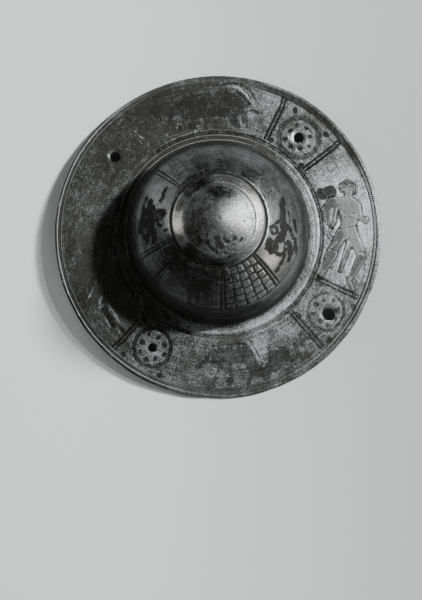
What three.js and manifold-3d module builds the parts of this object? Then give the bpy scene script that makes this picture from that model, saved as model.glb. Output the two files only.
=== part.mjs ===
// Round shield boss: one raised copper-alloy sheet, a hand-high dome on a broad flange bent to the
// curve of a shield, with four empty rivet holes and an engraved layout of rings, panels and lattices.
// Millimetres, +Z up. It lies on the two low edges of its flange, dome upwards, centred on the origin.
import * as THREE from "three";
import { mergeVertices } from "three/addons/utils/BufferGeometryUtils.js";
import Module from "manifold-3d";

const wasm = await Module();
wasm.setup();

// Sheet and flange.
const SHEET = 1.4;
const RIM_RADIUS = 100;
const RIM_STRETCH = 1.0;
const RIM_ROUND = 0.5;
const BEND_DROP = 10;
const REST_TRIM = 0.35;
const FLANGE_STATIONS = [89, 81, 73];

// Dome: a hemisphere whose centre sits a little above the flange, with a small cove at its foot.
const DOME_RADIUS = 55;
const DOME_CENTRE = 2.5;
const FOOT_COVE = 3;
const BEND_FADE_TOP = 25;

// Engraved rings: the rope band and the foot band on the flange, single lines on the dome.
const ROPE_BAND = [98.4, 94.8];
const FOOT_BAND = [65.6, 62.8];
const BAND_DEPTH = 0.3;
const PANEL_FOOT_RADIUS = 49;
const CROWN_RADIUS = 27.3;
const CROWN_INNER_RADIUS = 21;
const CROWN_RISE = 2.3;
const LINE_WIDTH = 1.0;
const LINE_DEPTH = 0.4;
const BORDER_SHIFT = new THREE.Vector2(-1.1, 0.5);
const BORDER_ZONE = [88, 93, 98.8, 100];

// Rivet panels, laid out by eye: each has a hole, a ring round it and a double line on either side.
const RIVETS = [
  { turn: 40.7, reach: 77.6, bore: 6.5, ring: 13.4, half: 13.3, slip: 0 },
  { turn: 133.9, reach: 79.4, bore: 6.3, ring: 12.6, half: 14.6, slip: 0 },
  { turn: 230.6, reach: 80.4, bore: 5.4, ring: 12.7, half: 12.0, slip: 0 },
  { turn: 314.6, reach: 81.2, bore: 7.4, ring: 12.2, half: 11.4, slip: 1.8 },
];
const PANEL_REACH = [66.5, 93.5];
const DOUBLE_GAP = 2.2;
const SEAT_RADIUS = 7.5;
const SEAT_SINK = 0.12;

// Panels between the figures of the dome: start and end angle, columns and rows of the lattice.
const DOME_PANELS = [
  { from: 265.6, to: 304.6, columns: 5, rows: 6 },
  { from: 88.6, to: 127.6, columns: 5, rows: 6 },
  { from: 194.0, to: 210.0, columns: 1, rows: 1 },
  { from: 35.0, to: 56.0, columns: 1, rows: 1 },
];
const LATTICE_LINE = 0.8;

// Fineness of the facets.
const OUTER_SEGMENTS = 56;
const INNER_SEGMENTS = 32;
const DOME_STEPS = [3, 4, 1, 3];
const HOLLOW_STEPS = 8;
const COVE_STEPS = 2;
const RING_STEPS = 18;
const SIDE_LINE_STEPS = 2;
const BORE_SEGMENTS = 14;
const CLEARANCE = 1.5;
const SLIVER = 0.02;
const BLANK_DEPTH = 24;
const CUT_REACH = 60;

const rad = THREE.MathUtils.degToRad;
const ramp = (value, low, high) => THREE.MathUtils.smoothstep(value, low, high);

// Lowers a point by the shield's curve; the upper dome keeps its round form.
function bentHeight(x, y, z) {
  const hold = 1 - ramp(z, FOOT_COVE, BEND_FADE_TOP);
  return z - BEND_DROP * (y / RIM_RADIUS) ** 2 * hold;
}

// The crown rises to a low blunt point inside its inner ring.
function crownRise(reach, z) {
  if (z < DOME_RADIUS / 2 || reach > CROWN_INNER_RADIUS) {
    return 0;
  }
  return CROWN_RISE * (1 - reach / CROWN_INNER_RADIUS) ** 2;
}

// Moves every vertex of a straight-built form to the bent, slightly oval form of the real sheet.
function bend(geometry) {
  const place = geometry.getAttribute("position");
  for (let i = 0; i < place.count; i += 1) {
    const x = place.getX(i);
    const y = place.getY(i);
    const reach = Math.hypot(x, y);
    const border = ramp(reach, BORDER_ZONE[0], BORDER_ZONE[1]) * (1 - ramp(reach, BORDER_ZONE[2], BORDER_ZONE[3]));
    const stretch = 1 + (RIM_STRETCH / RIM_RADIUS) * ramp(reach, DOME_RADIUS, RIM_RADIUS);
    const movedX = x + BORDER_SHIFT.x * border;
    const movedY = (y + BORDER_SHIFT.y * border) * stretch;
    const z = place.getZ(i);
    place.setXYZ(i, movedX, movedY, bentHeight(x, y, z) + crownRise(reach, z));
  }
  return geometry;
}

// Turns a closed geometry into a solid, leaving out the empty triangles at a lathe's poles.
function solidOf(geometry) {
  const bare = geometry.clone();
  bare.deleteAttribute("normal");
  bare.deleteAttribute("uv");
  const joined = mergeVertices(bare);
  const corners = joined.getIndex().array;
  const kept = [];
  for (let i = 0; i < corners.length; i += 3) {
    const [a, b, c] = [corners[i], corners[i + 1], corners[i + 2]];
    if (a !== b && b !== c && c !== a) {
      kept.push(a, b, c);
    }
  }
  const vertProperties = new Float32Array(joined.getAttribute("position").array);
  const triVerts = new Uint32Array(kept);
  return new wasm.Manifold(new wasm.Mesh({ numProp: 3, vertProperties, triVerts }));
}

// Turns a half profile of radius and height about the upright axis.
function turned(profile, segments) {
  const lathe = new THREE.LatheGeometry(profile, segments);
  lathe.rotateX(Math.PI / 2);
  return solidOf(bend(lathe));
}

// Points of an arc in the profile plane, both ends included.
function arc(centreR, centreZ, radius, fromDeg, toDeg, steps) {
  const points = [];
  for (let i = 0; i <= steps; i += 1) {
    const angle = rad(fromDeg + ((toDeg - fromDeg) * i) / steps);
    points.push(new THREE.Vector2(centreR + radius * Math.cos(angle), centreZ + radius * Math.sin(angle)));
  }
  return points;
}

// Four points of a shallow band turned into the flat flange, from the outside inwards.
function sunkBand([outside, inside]) {
  return [
    new THREE.Vector2(outside, 0),
    new THREE.Vector2(outside - BAND_DEPTH, -BAND_DEPTH),
    new THREE.Vector2(inside + BAND_DEPTH, -BAND_DEPTH),
    new THREE.Vector2(inside, 0),
  ];
}

const latitudeOf = (radius) => THREE.MathUtils.radToDeg(Math.acos(radius / DOME_RADIUS));
const HALF_LINE = THREE.MathUtils.radToDeg(LINE_WIDTH / 2 / DOME_RADIUS);

// The dome's profile from its widest line to its crown, with a V-shaped line at each ring.
function domeProfile() {
  const rings = [PANEL_FOOT_RADIUS, CROWN_RADIUS, CROWN_INNER_RADIUS].map(latitudeOf);
  const points = [];
  let start = 0;
  rings.forEach((latitude, i) => {
    points.push(...arc(0, DOME_CENTRE, DOME_RADIUS, start, latitude - HALF_LINE, DOME_STEPS[i]));
    points.push(arc(0, DOME_CENTRE, DOME_RADIUS - LINE_DEPTH, latitude, latitude, 1)[0]);
    start = latitude + HALF_LINE;
  });
  points.push(...arc(0, DOME_CENTRE, DOME_RADIUS, start, 90, DOME_STEPS[3]));
  points[points.length - 1].x = 0;
  return points;
}

// The outer form as a thick blank, before its hollow is taken out.
function outerBlank() {
  const foot = DOME_RADIUS + FOOT_COVE;
  const profile = [
    new THREE.Vector2(0, -BLANK_DEPTH),
    new THREE.Vector2(RIM_RADIUS, -BLANK_DEPTH),
    new THREE.Vector2(RIM_RADIUS, -RIM_ROUND),
    new THREE.Vector2(RIM_RADIUS - RIM_ROUND, 0),
    ...sunkBand(ROPE_BAND),
    ...FLANGE_STATIONS.map((radius) => new THREE.Vector2(radius, 0)),
    ...sunkBand(FOOT_BAND),
    ...arc(foot, FOOT_COVE, FOOT_COVE, 270, 180, COVE_STEPS),
    ...domeProfile().slice(1),
  ];
  return turned(profile, OUTER_SEGMENTS);
}

// Everything under the sheet: the hand's hollow and the space below the flange.
function innerHollow() {
  const foot = DOME_RADIUS + FOOT_COVE;
  const wide = RIM_RADIUS + CUT_REACH / 4;
  const dome = arc(0, DOME_CENTRE, DOME_RADIUS - SHEET, 0, 90, HOLLOW_STEPS);
  dome[dome.length - 1].x = 0;
  const profile = [
    new THREE.Vector2(0, -CUT_REACH),
    new THREE.Vector2(wide, -CUT_REACH),
    new THREE.Vector2(wide, -SHEET),
    new THREE.Vector2(RIM_RADIUS - LINE_WIDTH, -SHEET),
    ...FLANGE_STATIONS.map((radius) => new THREE.Vector2(radius, -SHEET)),
    ...arc(foot, FOOT_COVE, FOOT_COVE + SHEET, 270, 180, COVE_STEPS),
    ...dome.slice(1),
  ];
  return turned(profile, INNER_SEGMENTS);
}

// A V-edged blade that cuts one upright line of a panel, standing in the plane of its meridian.
function meridianBlade(turn) {
  const low = latitudeOf(PANEL_FOOT_RADIUS);
  const high = latitudeOf(CROWN_RADIUS);
  const edge = arc(0, DOME_CENTRE, DOME_RADIUS - LINE_DEPTH, low, high, DOME_STEPS[1]);
  const back = arc(0, DOME_CENTRE, DOME_RADIUS + LINE_DEPTH, high, low, DOME_STEPS[1]);
  const blade = new THREE.ExtrudeGeometry(new THREE.Shape([...edge, ...back]), {
    depth: 2 * LATTICE_LINE,
    bevelEnabled: false,
  });
  blade.translate(0, 0, -LATTICE_LINE);
  const place = blade.getAttribute("position");
  for (let i = 0; i < place.count; i += 1) {
    const reach = Math.hypot(place.getX(i), place.getY(i) - DOME_CENTRE);
    if (reach < DOME_RADIUS) {
      place.setZ(i, 0);
    }
  }
  blade.rotateX(Math.PI / 2);
  blade.rotateZ(rad(turn));
  return solidOf(blade);
}

// A V-edged ring that cuts one level line of a panel right round the dome.
function parallelBlade(latitude) {
  const half = THREE.MathUtils.radToDeg(LATTICE_LINE / DOME_RADIUS);
  const edge = arc(0, DOME_CENTRE, DOME_RADIUS - LINE_DEPTH, latitude, latitude, 1)[0];
  const back = arc(0, DOME_CENTRE, DOME_RADIUS + LINE_DEPTH, latitude - half, latitude + half, 1);
  return turned([edge, ...back, edge.clone()], OUTER_SEGMENTS);
}

// A wedge from the axis outwards that holds one panel of the dome.
function panelWedge(panel) {
  const span = [panel.from, (panel.from + panel.to) / 2, panel.to].map(rad);
  const corners = span.map((turn) => new THREE.Vector2(Math.cos(turn), Math.sin(turn)));
  corners.forEach((corner) => corner.multiplyScalar(RIM_RADIUS));
  const sector = new THREE.Shape([new THREE.Vector2(0, 0), ...corners]);
  return solidOf(new THREE.ExtrudeGeometry(sector, { depth: RIM_RADIUS, bevelEnabled: false }));
}

// Upright and level lines of one panel of the dome.
function domePanelTools(panel) {
  const low = latitudeOf(PANEL_FOOT_RADIUS);
  const high = latitudeOf(CROWN_RADIUS);
  const wedge = panelWedge(panel);
  const tools = [];
  for (let column = 0; column <= panel.columns; column += 1) {
    tools.push(meridianBlade(THREE.MathUtils.lerp(panel.from, panel.to, column / panel.columns)));
  }
  for (let row = 1; row < panel.rows; row += 1) {
    const latitude = THREE.MathUtils.lerp(low, high, row / panel.rows);
    tools.push(parallelBlade(latitude).intersect(wedge));
  }
  return tools;
}

// Ring and double side lines of one rivet panel, on the flange.
function rivetPanelTools(rivet) {
  const half = LINE_WIDTH / 2;
  const section = [
    new THREE.Vector2(rivet.ring - half, -LINE_DEPTH),
    new THREE.Vector2(rivet.ring + half, -LINE_DEPTH),
    new THREE.Vector2(rivet.ring + half, CLEARANCE),
    new THREE.Vector2(rivet.ring - half, CLEARANCE),
    new THREE.Vector2(rivet.ring - half, -LINE_DEPTH),
  ];
  const ring = new THREE.LatheGeometry(section, RING_STEPS);
  ring.rotateX(Math.PI / 2);
  ring.translate(rivet.reach * Math.cos(rad(rivet.turn)), rivet.reach * Math.sin(rad(rivet.turn)), 0);
  const tools = [solidOf(bend(ring))];
  const length = PANEL_REACH[1] - PANEL_REACH[0];
  for (const side of [-1, 1]) {
    for (const offset of [-DOUBLE_GAP / 2, DOUBLE_GAP / 2]) {
      const line = new THREE.BoxGeometry(length, LINE_WIDTH, LINE_DEPTH + CLEARANCE, SIDE_LINE_STEPS);
      line.translate(PANEL_REACH[0] + length / 2, offset, (CLEARANCE - LINE_DEPTH) / 2);
      line.rotateZ(rad(rivet.turn + side * rivet.half));
      tools.push(solidOf(bend(line)));
    }
  }
  return tools;
}

// The bore of a rivet and its flat seat on the underside.
function rivetBore(rivet) {
  const reach = rivet.reach + rivet.slip;
  const [x, y] = [reach * Math.cos(rad(rivet.turn)), reach * Math.sin(rad(rivet.turn))];
  const under = bentHeight(x, y, 0) - SHEET;
  const slope = Math.atan((-2 * BEND_DROP * y) / RIM_RADIUS ** 2);
  const bore = new THREE.CylinderGeometry(rivet.bore / 2, rivet.bore / 2, CUT_REACH / 2, BORE_SEGMENTS);
  bore.rotateX(Math.PI / 2 + slope);
  bore.translate(x, y, under);
  const depth = CUT_REACH / 6;
  const seat = new THREE.CylinderGeometry(SEAT_RADIUS, SEAT_RADIUS, depth, BORE_SEGMENTS);
  seat.translate(0, SEAT_SINK - depth / 2, 0);
  seat.rotateX(Math.PI / 2 + slope);
  seat.translate(x, y, under);
  return solidOf(bore).add(solidOf(seat));
}

// The two low edges of the flange are worn flat where the boss lies on the ground.
function restPlane() {
  const floor = new THREE.BoxGeometry(4 * RIM_RADIUS, 4 * RIM_RADIUS, CUT_REACH);
  floor.translate(0, 0, REST_TRIM - BEND_DROP - SHEET - CUT_REACH / 2);
  return solidOf(floor);
}

let boss = outerBlank().subtract(innerHollow());
const tools = [
  ...DOME_PANELS.flatMap(domePanelTools),
  ...RIVETS.flatMap(rivetPanelTools),
  ...RIVETS.map(rivetBore),
  restPlane(),
];
for (const tool of tools) {
  boss = boss.subtract(tool);
}
boss = boss.simplify(SLIVER);

const cut = boss.getMesh();
const geometry = new THREE.BufferGeometry();
geometry.setAttribute("position", new THREE.BufferAttribute(new Float32Array(cut.vertProperties), 3));
geometry.setIndex(new THREE.BufferAttribute(new Uint32Array(cut.triVerts), 1));
geometry.computeVertexNormals();

const tinned = new THREE.MeshStandardMaterial({ color: 0x8f8d88, roughness: 0.42, metalness: 1.0 });
const shieldBoss = new THREE.Mesh(geometry, tinned);
shieldBoss.name = "shield_boss";
shieldBoss.position.z = BEND_DROP + SHEET - REST_TRIM;

const part = new THREE.Group();
part.name = "shield_boss_part";
part.add(shieldBoss);

export default part;
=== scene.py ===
"""Worn shield boss of tinned sheet brass: an engraved dome on a broad bent flange, lying face up."""
import logging
from dataclasses import dataclass, field
from enum import Enum
from functools import partial, reduce

import bpy
import numpy as np
from mathutils import Matrix, Vector


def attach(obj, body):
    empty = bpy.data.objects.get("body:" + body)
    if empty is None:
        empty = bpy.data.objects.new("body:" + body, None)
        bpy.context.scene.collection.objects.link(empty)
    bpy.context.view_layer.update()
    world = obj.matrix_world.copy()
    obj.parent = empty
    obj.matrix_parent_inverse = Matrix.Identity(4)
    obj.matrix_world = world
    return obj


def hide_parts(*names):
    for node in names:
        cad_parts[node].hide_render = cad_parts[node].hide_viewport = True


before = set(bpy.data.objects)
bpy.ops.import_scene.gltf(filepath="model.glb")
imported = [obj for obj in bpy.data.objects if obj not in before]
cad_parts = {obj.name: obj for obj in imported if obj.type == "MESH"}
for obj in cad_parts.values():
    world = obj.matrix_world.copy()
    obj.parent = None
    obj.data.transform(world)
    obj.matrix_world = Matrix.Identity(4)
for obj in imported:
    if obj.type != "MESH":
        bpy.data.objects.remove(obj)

LOG = logging.getLogger("shield_boss")
MM = 0.001
FAR_MM = 9.0
Array = np.ndarray
Point = tuple[float, float]
Triple = tuple[float, float, float]
Socket = bpy.types.NodeSocket


def ramp(value: Array, low: float, high: float) -> Array:
    """Smooth step: 0 below low, 1 above high, 3t^2 - 2t^3 between."""
    t = np.clip((value - low) / (high - low), 0.0, 1.0)
    return t * t * (3.0 - 2.0 * t)


def heading(degrees: float) -> Array:
    """Unit vector in the plan at that angle from +X."""
    return np.array([np.cos(np.radians(degrees)), np.sin(np.radians(degrees))])


def turn_gap(angle: Array, degrees: float) -> Array:
    """Signed angle in radians from a direction, folded into minus pi to pi."""
    return np.mod(angle - np.radians(degrees) + np.pi, 2.0 * np.pi) - np.pi


@dataclass(frozen=True)
class Mottle:
    """Seeded smooth noise over the plan, for dents and worn patches."""

    seed: int
    cell: float
    gain: float
    cells: int = 64
    origin: Point = (31.7, 17.3)

    def field(self, x: Array, y: Array) -> Array:
        """Value noise: random corner values blended by smooth steps inside each square cell.

        Args:
            x: plan positions in mm.
            y: plan positions in mm.

        Returns:
            Values from minus the gain to the gain.
        """
        n = self.cells
        table = np.random.RandomState(self.seed).uniform(-1.0, 1.0, (n, n))
        u, v = x / self.cell + self.origin[0], y / self.cell + self.origin[1]
        i, j = np.floor(u).astype(int), np.floor(v).astype(int)
        s, t = ramp(u - i, 0.0, 1.0), ramp(v - j, 0.0, 1.0)
        low = table[i % n, j % n] * (1 - s) + table[(i + 1) % n, j % n] * s
        high = table[i % n, (j + 1) % n] * (1 - s) + table[(i + 1) % n, (j + 1) % n] * s
        return self.gain * (low * (1 - t) + high * t)


class Noise(Enum):
    """Soft noises of the sheet, each one or more sizes laid over each other; cells and gains in mm."""

    DENTS = (Mottle(1, 17.0, 0.16), Mottle(2, 6.0, 0.05))
    FLANGE_GRAIN = (Mottle(3, 1.6, 0.025),)
    DOME_GRAIN = (Mottle(3, 1.6, 0.01),)
    HAMMERING = (Mottle(5, 9.0, 0.12),)
    RIM_WOBBLE = (Mottle(6, 8.0, 0.25),)
    TIN = (Mottle(11, 9.0, 0.08), Mottle(12, 3.5, 0.06))
    GRIME = (Mottle(21, 7.0, 0.25),)
    FIGURE_EDGE = (Mottle(31, 2.6, 1.0), Mottle(32, 1.2, 0.7))
    PANEL_EDGE = (Mottle(41, 2.3, 0.45), Mottle(42, 1.1, 0.25))
    LATTICE_WANDER = (Mottle(43, 5.0, 0.42),)
    LATTICE_SWELL = (Mottle(44, 2.1, 0.22),)

    def over(self, x: Array, y: Array) -> Array:
        """The noise at plan positions: the sum of its sizes."""
        return sum(layer.field(x, y) for layer in self.value)


@dataclass(frozen=True)
class Band:
    """A ring-shaped zone of the plan: between which radii in mm it rises, and between which it falls."""

    rise: Point
    fall: Point

    def share(self, reach: Array) -> Array:
        """1 in the zone, 0 outside, with a smooth step at either edge."""
        return ramp(reach, *self.rise) * (1.0 - ramp(reach, *self.fall))


@dataclass(frozen=True)
class Side:
    """A side of the boss: the angle that it faces and its width either way, in degrees."""

    facing: float
    width: float
    core: float = 0.55

    def share(self, angle: Array) -> Array:
        """1 in the core of the side, falling by a smooth step to nought at its width."""
        gap = np.abs(turn_gap(angle, self.facing))
        return 1.0 - ramp(gap, np.radians(self.core * self.width), np.radians(self.width))


@dataclass(frozen=True)
class Limb:
    """A tapered member with round ends, in a figure's own frame."""

    start: Point
    end: Point
    thick: float
    thin: float

    def distance(self, u: Array, v: Array) -> Array:
        """Distance to the member's axis less its radius there, which runs evenly from thick to thin.

        Args:
            u: positions to the right in mm.
            v: positions upwards in mm.

        Returns:
            Distances in mm, negative inside.
        """
        du, dv = self.end[0] - self.start[0], self.end[1] - self.start[1]
        t = ((u - self.start[0]) * du + (v - self.start[1]) * dv) / max(du * du + dv * dv, 1e-6)
        t = np.clip(t, 0.0, 1.0)
        off = np.hypot(u - self.start[0] - du * t, v - self.start[1] - dv * t)
        return off - (self.thick + (self.thin - self.thick) * t)


@dataclass(frozen=True)
class Stroke:
    """An engraved line through several points."""

    points: tuple[Point, ...]
    half: float

    def distance(self, u: Array, v: Array) -> Array:
        """Least distance to the line's straight runs, less its half width."""
        runs = [Limb(a, b, self.half, self.half) for a, b in zip(self.points, self.points[1:])]
        return np.min([run.distance(u, v) for run in runs], axis=0)


@dataclass(frozen=True)
class Loop:
    """An engraved or inlaid ring."""

    centre: Point
    radius: float
    half: float

    def distance(self, u: Array, v: Array) -> Array:
        """Distance to the circle less the half width of its line."""
        off = np.hypot(u - self.centre[0], v - self.centre[1])
        return np.abs(off - self.radius) - self.half


def marks(*rows: tuple) -> tuple:
    """Marks of a figure from plain rows, in mm.

    Args:
        rows: six numbers for a tapered member (its start, end and two radii), four for a ring (its
            centre, radius and half width), or points and a half width for a stroke.

    Returns:
        The marks in the same order.
    """
    made = []
    for row in rows:
        if isinstance(row[0], tuple):
            made.append(Stroke(row[:-1], row[-1]))
        elif len(row) == 4:
            made.append(Loop(row[:2], *row[2:]))
        else:
            made.append(Limb(row[:2], row[2:4], *row[4:]))
    return tuple(made)


class Zone(Enum):
    """Which part of the face a figure lies on."""

    FLANGE = "flange"
    DOME = "dome"


@dataclass(frozen=True)
class Figure:
    """A plain stock figure: bare members with an engraved contour, dark inlay and loose lines.

    Its marks are in mm in its own frame. Worn strokes are bright, shade is soiled, and cover hides the
    contour under it. The shares say how much of the ragged edge a line or a worn stroke takes.
    """

    name: str
    zone: Zone
    place: Point
    body: tuple[Limb, ...] = ()
    inlay: tuple = ()
    lines: tuple = ()
    worn: tuple = ()
    shade: tuple = ()
    cover: tuple = ()
    contour: float = 0.34
    hold: float = 1.0
    ragged: float = 0.5
    merge: float = 1.2
    line_share: float = 0.3
    worn_share: float = 0.5
    cover_edge: float = 0.4
    up: float = 80.6

    def local(self, x: Array, y: Array) -> tuple[Array, Array]:
        """Plan positions turned into the figure's own frame, u to its right and v upwards."""
        (east, north), dx, dy = heading(self.up), x - self.place[0], y - self.place[1]
        return dx * north - dy * east, dx * east + dy * north

    @staticmethod
    def least(several: tuple, u: Array, v: Array) -> Array:
        """Distance to the nearest of several marks."""
        return np.min([np.full(u.shape, FAR_MM)] + [mark.distance(u, v) for mark in several], axis=0)

    def distances(self, x: Array, y: Array, rough: Array) -> tuple[Array, ...]:
        """Distances to the bare body, the dark inlay, the engraved lines, worn strokes and soft shading.

        Members of the body run into each other by a smooth minimum: where two distances are closer
        than the merge width, their lesser one is lowered by a quarter of the overlap squared. The
        inlay's edge wanders by a noise, and bright strokes are taken out of body and inlay.

        Args:
            x: plan positions in mm.
            y: plan positions in mm.
            rough: noise about nought.

        Returns:
            Five arrays of distances in mm, negative inside.
        """
        u, v = self.local(x, y)
        bare = np.full(u.shape, FAR_MM)
        for limb in self.body:
            near = limb.distance(u, v)
            lap = np.maximum(self.merge - np.abs(bare - near), 0.0) / self.merge
            bare = np.minimum(bare, near) - lap * lap * self.merge / 4.0
        dark = self.least(self.inlay, u, v) + self.ragged * rough
        line = self.least(self.lines, u, v) + self.line_share * self.ragged * rough
        worn = self.least(self.worn, u, v) + self.worn_share * self.ragged * rough
        shade = self.least(self.shade, u, v) + self.ragged * rough
        if self.body and self.contour > 0.0:
            covered = -self.cover_edge - self.least(self.cover, u, v)
            outline = np.maximum(np.abs(bare) - self.contour, covered)
            line = np.minimum(line, outline)
        return np.maximum(bare, -worn), np.maximum(dark, -worn), line, worn, shade


HAIR = marks(
    (-2.2, 26.2, 1.1, 27.6, 2, 2.2), (1.1, 27.6, 4.3, 26.2, 2.2, 1.9), (-2.9, 24.7, -2.6, 22.8, 1.4, 1),
    (5.2, 25.2, 5.7, 21.4, 1.3, 0.7),
)
HERO = Figure(
    "striding_man", Zone.FLANGE, (77.6, -9.7),
    body=HAIR + marks(
        (1.4, 24.8, 1.8, 22.2, 3.7, 2.8), (1.6, 20, 1.2, 17, 2.2, 2.6),
        (-6.2, 16.4, 5.6, 14.8, 3.1, 3.2), (1.2, 13.4, 1.8, 4.6, 6.2, 4.8), (1.8, 2.6, 1, -2, 5, 4.6),
        (-8.2, 16.4, -11.6, 11.4, 3.1, 2.9), (-11.6, 11.4, -11.4, 5.6, 2.7, 2.3),
        (-11.4, 5.6, -9, 1.6, 2.1, 1.8), (7.2, 13.6, 8.2, 7.4, 2.3, 1.8),
        (8.2, 6.6, 12.2, 4.4, 1.8, 1.4), (12.4, 4.2, 13, 5.6, 1.8, 1.5),
        (-2, -2.6, -8.4, -13.6, 3.8, 2.9), (-9, -15.6, -13, -24.8, 3.9, 1.9),
        (-13.4, -26, -16.4, -30, 1.7, 1.2), (3.2, -3, 9.6, -16.4, 4.1, 2.8),
        (9.2, -18, 2.6, -30.2, 3, 1.5), (1.4, -31.6, 4.2, -37.4, 1.7, 1.2),
        (-6.6, 12.6, -7.8, 3.8, 2.3, 1.8), (2.6, -7, -3.6, -26, 2.2, 1.2),
    ),
    inlay=marks((-14.6, 21, -9.6, 22, 3.7, 4.2), (-9.2, 1.4, -8.2, -0.4, 1.3, 1)),
    lines=marks(
        ((6.4, 17), (11.2, 20.4), 0.26), ((7.6, 15.6), (12.2, 18.8), 0.26),
        ((11.2, 20.4), (12.2, 18.8), 0.26), ((-4.2, -0.4), (0.8, 0.4), (6.6, 1.6), 0.22),
        ((-12.8, -3), (-9.4, -8), 0.3), ((-10.8, -2), (-7.6, -7.4), 0.3),
        ((-2.9, 26.8), (-0.2, 27.5), (1.1, 26.3), 0.22), ((0.8, 28.6), (2.9, 27.3), (5, 27), 0.22),
        ((-2.6, 9.8), (0, 8.8), 0.2), ((3.6, 8.8), (6, 9.8), 0.2), ((0, 23.8), (0.9, 23.7), 0.24),
        ((2.6, 23.7), (3.5, 23.8), 0.24), ((1.8, 23.2), (1.9, 22), 0.2), ((1, 20.6), (2.6, 20.6), 0.22),
        ((7, -15), (9.2, -14), (11.4, -15.4), 0.22), ((-12.4, -14.2), (-9.2, -12.2), (-6, -14), 0.26),
    ),
    worn=marks(
        ((-8, 12.2), (-9.4, 4.9), 0.4), ((-5.8, 11.6), (-7.2, 4.9), 0.35),
        ((-4.2, 4.6), (-6.1, 0), 0.35), ((1.8, -8), (-1.8, -17.7), 0.4),
        ((3.7, -13.5), (-0.6, -24.5), 0.4), ((-5.5, -8.4), (-10.6, -13.4), 0.3),
    ),
    shade=HAIR + marks(
        (-7, 12.4, -8.2, 4, 2, 1.6), (-8.6, 16.4, -12, 11.4, 2.6, 2.3),
        (-12, 11.4, -11.8, 5.4, 2.1, 1.8), (-9, -1.4, -10.4, -9, 2.4, 1.8),
        (-9.2, -15.8, -13, -24.6, 3.2, 1.5), (1.2, -14.4, -4.2, -26.6, 1.6, 1.4),
        (-5.2, 14, -4, 6, 1.2, 0.8), (9, -18.6, 3.4, -28.6, 2.2, 1), (12.2, -12, 11.6, -30, 0.6, 0.9),
        (-0.8, 25, -0.6, 21.5, 1.6, 1.2), (-3.6, -4, -8.6, -13.4, 2.4, 1.9),
        (-3.6, -12, -6.4, -20, 1.7, 1.1), (4.2, -15.5, 1.6, -22, 1.2, 0.8),
    ),
    cover=HAIR,
    contour=0.36,
    ragged=0.3,
)

BULL = Figure(
    "bull", Zone.FLANGE, (13.2, 80.2),
    inlay=marks(
        (-16, -1.5, 10, -0.5, 7.6, 8.4), (10, 0.5, 15.5, 2, 8.2, 6), (-18, -2, -27, -4, 7, 4.4),
        (-27, -4, -34, -8, 4.2, 2.4), (-14, -6, -17, -14, 2.9, 2), (-7, -7, -7.5, -14.4, 2.8, 2),
        (9, -6, 11, -14, 3.1, 2), (15, -4, 18, -13.6, 3.1, 2), (21, -3.6, 28, -6, 1.8, 1.2),
    ),
    lines=marks(
        ((3.7, 12.6), (10, 13.4), (14.4, 12.6), (19.9, 8.5), (24.2, 1.2), 0.65),
        ((5, 9.6), (11.6, 8.2), (16, 4.6), (20, -1.2), 0.35),
    ),
    worn=marks(((7, 11.4), (12.5, 10.4), (17.4, 6.4), (21.7, -0.1), 0.2)),
    hold=0.78,
    ragged=1.6,
)

LION = Figure(
    "lion", Zone.FLANGE, (-1.1, -73.3),
    inlay=marks(
        (-11, -2.5, 5, -1, 4.8, 5.4), (5, -2.6, 11.4, -9, 5, 4.2), (11, -11, 19, -12.6, 3.4, 3),
        (23.6, -2.4, 29, -2, 4.4, 4), (22, -8, 26, -6.4, 3.8, 4), (29, -3, 34, -5, 2.8, 1.8),
        (-10, -6, -13, -18, 2.2, 1.3), (-4, -6, -3, -18.6, 2.2, 1.3), (9, -11, 8, -19, 2.1, 1.3),
        (17, -12, 20, -18.6, 2.1, 1.3), (-16, -2, -23, -9, 1.3, 0.9), (37, 5, 42, 11, 3, 3.6),
    ),
    lines=marks(
        ((-15, 3.4), (-4, 4.8), (8, 5.2), 0.35), ((24, 3.6), (31, 3), 0.4),
        ((8.4, 6.6), (10.8, 3), (12.8, -0.4), (14.6, -4.8), (15.9, -6.7), 0.3),
        ((15.9, -6.7), (17.2, -3.6), (18.6, 0.4), (20.6, 4.4), 0.3),
    ),
    hold=0.7,
    ragged=1.6,
)

ELDER = Figure(
    "robed_man", Zone.FLANGE, (-82.5, -0.1),
    body=marks(
        (-1, 20.4, -1, 19, 3.6, 3.2), (-4, 13.4, 3, 13.4, 2.8, 2.8), (-0.6, 12, -0.5, 2, 5.2, 5),
        (-1, 0, -5, -20, 5.2, 4.4), (1, -2, 5, -21, 4.6, 3.6), (4.4, 12, 9.4, 4, 2.2, 1.7),
        (9.4, 4, 8.4, -6, 1.7, 1.4),
    ),
    inlay=marks(
        (-5.4, -18, -8, -30, 2, 1.2), (6.4, -13.7, -0.7, -30.2, 1.4, 2.2), (-8, 8, -10, -4, 1.6, 2),
    ),
    lines=marks(((22.8, -43.8), (21.2, -50.7), 0.4), ((-7.6, -18), (-3, -29), 0.3)),
    worn=marks(((1.2, -28.4), (7.6, -15), -0.05)),
    contour=0.2,
    hold=0.42,
    ragged=1.4,
)

ELDER_FEET = Figure(
    "robed_man_feet", Zone.FLANGE, (-82.5, -0.1),
    inlay=marks(
        (12.6, -33, 17.8, -43, 1.7, 1.3), (11.4, -27.6, 11.8, -31, 1.1, 0.9),
        (21, -43.2, 23.6, -47.6, 0.9, 0.7),
    ),
    worn=marks(
        ((10.2, -25.4), (9, -28.6), (9.2, -32), 0.3), ((14.4, -30.4), (17.8, -35.2), (21, -40.6), 0.3),
        ((12.4, -37.4), (15.4, -43.6), 0), ((19.6, -44), (22, -49), -0.05),
    ),
    hold=0.85,
    ragged=0.6,
)

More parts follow.
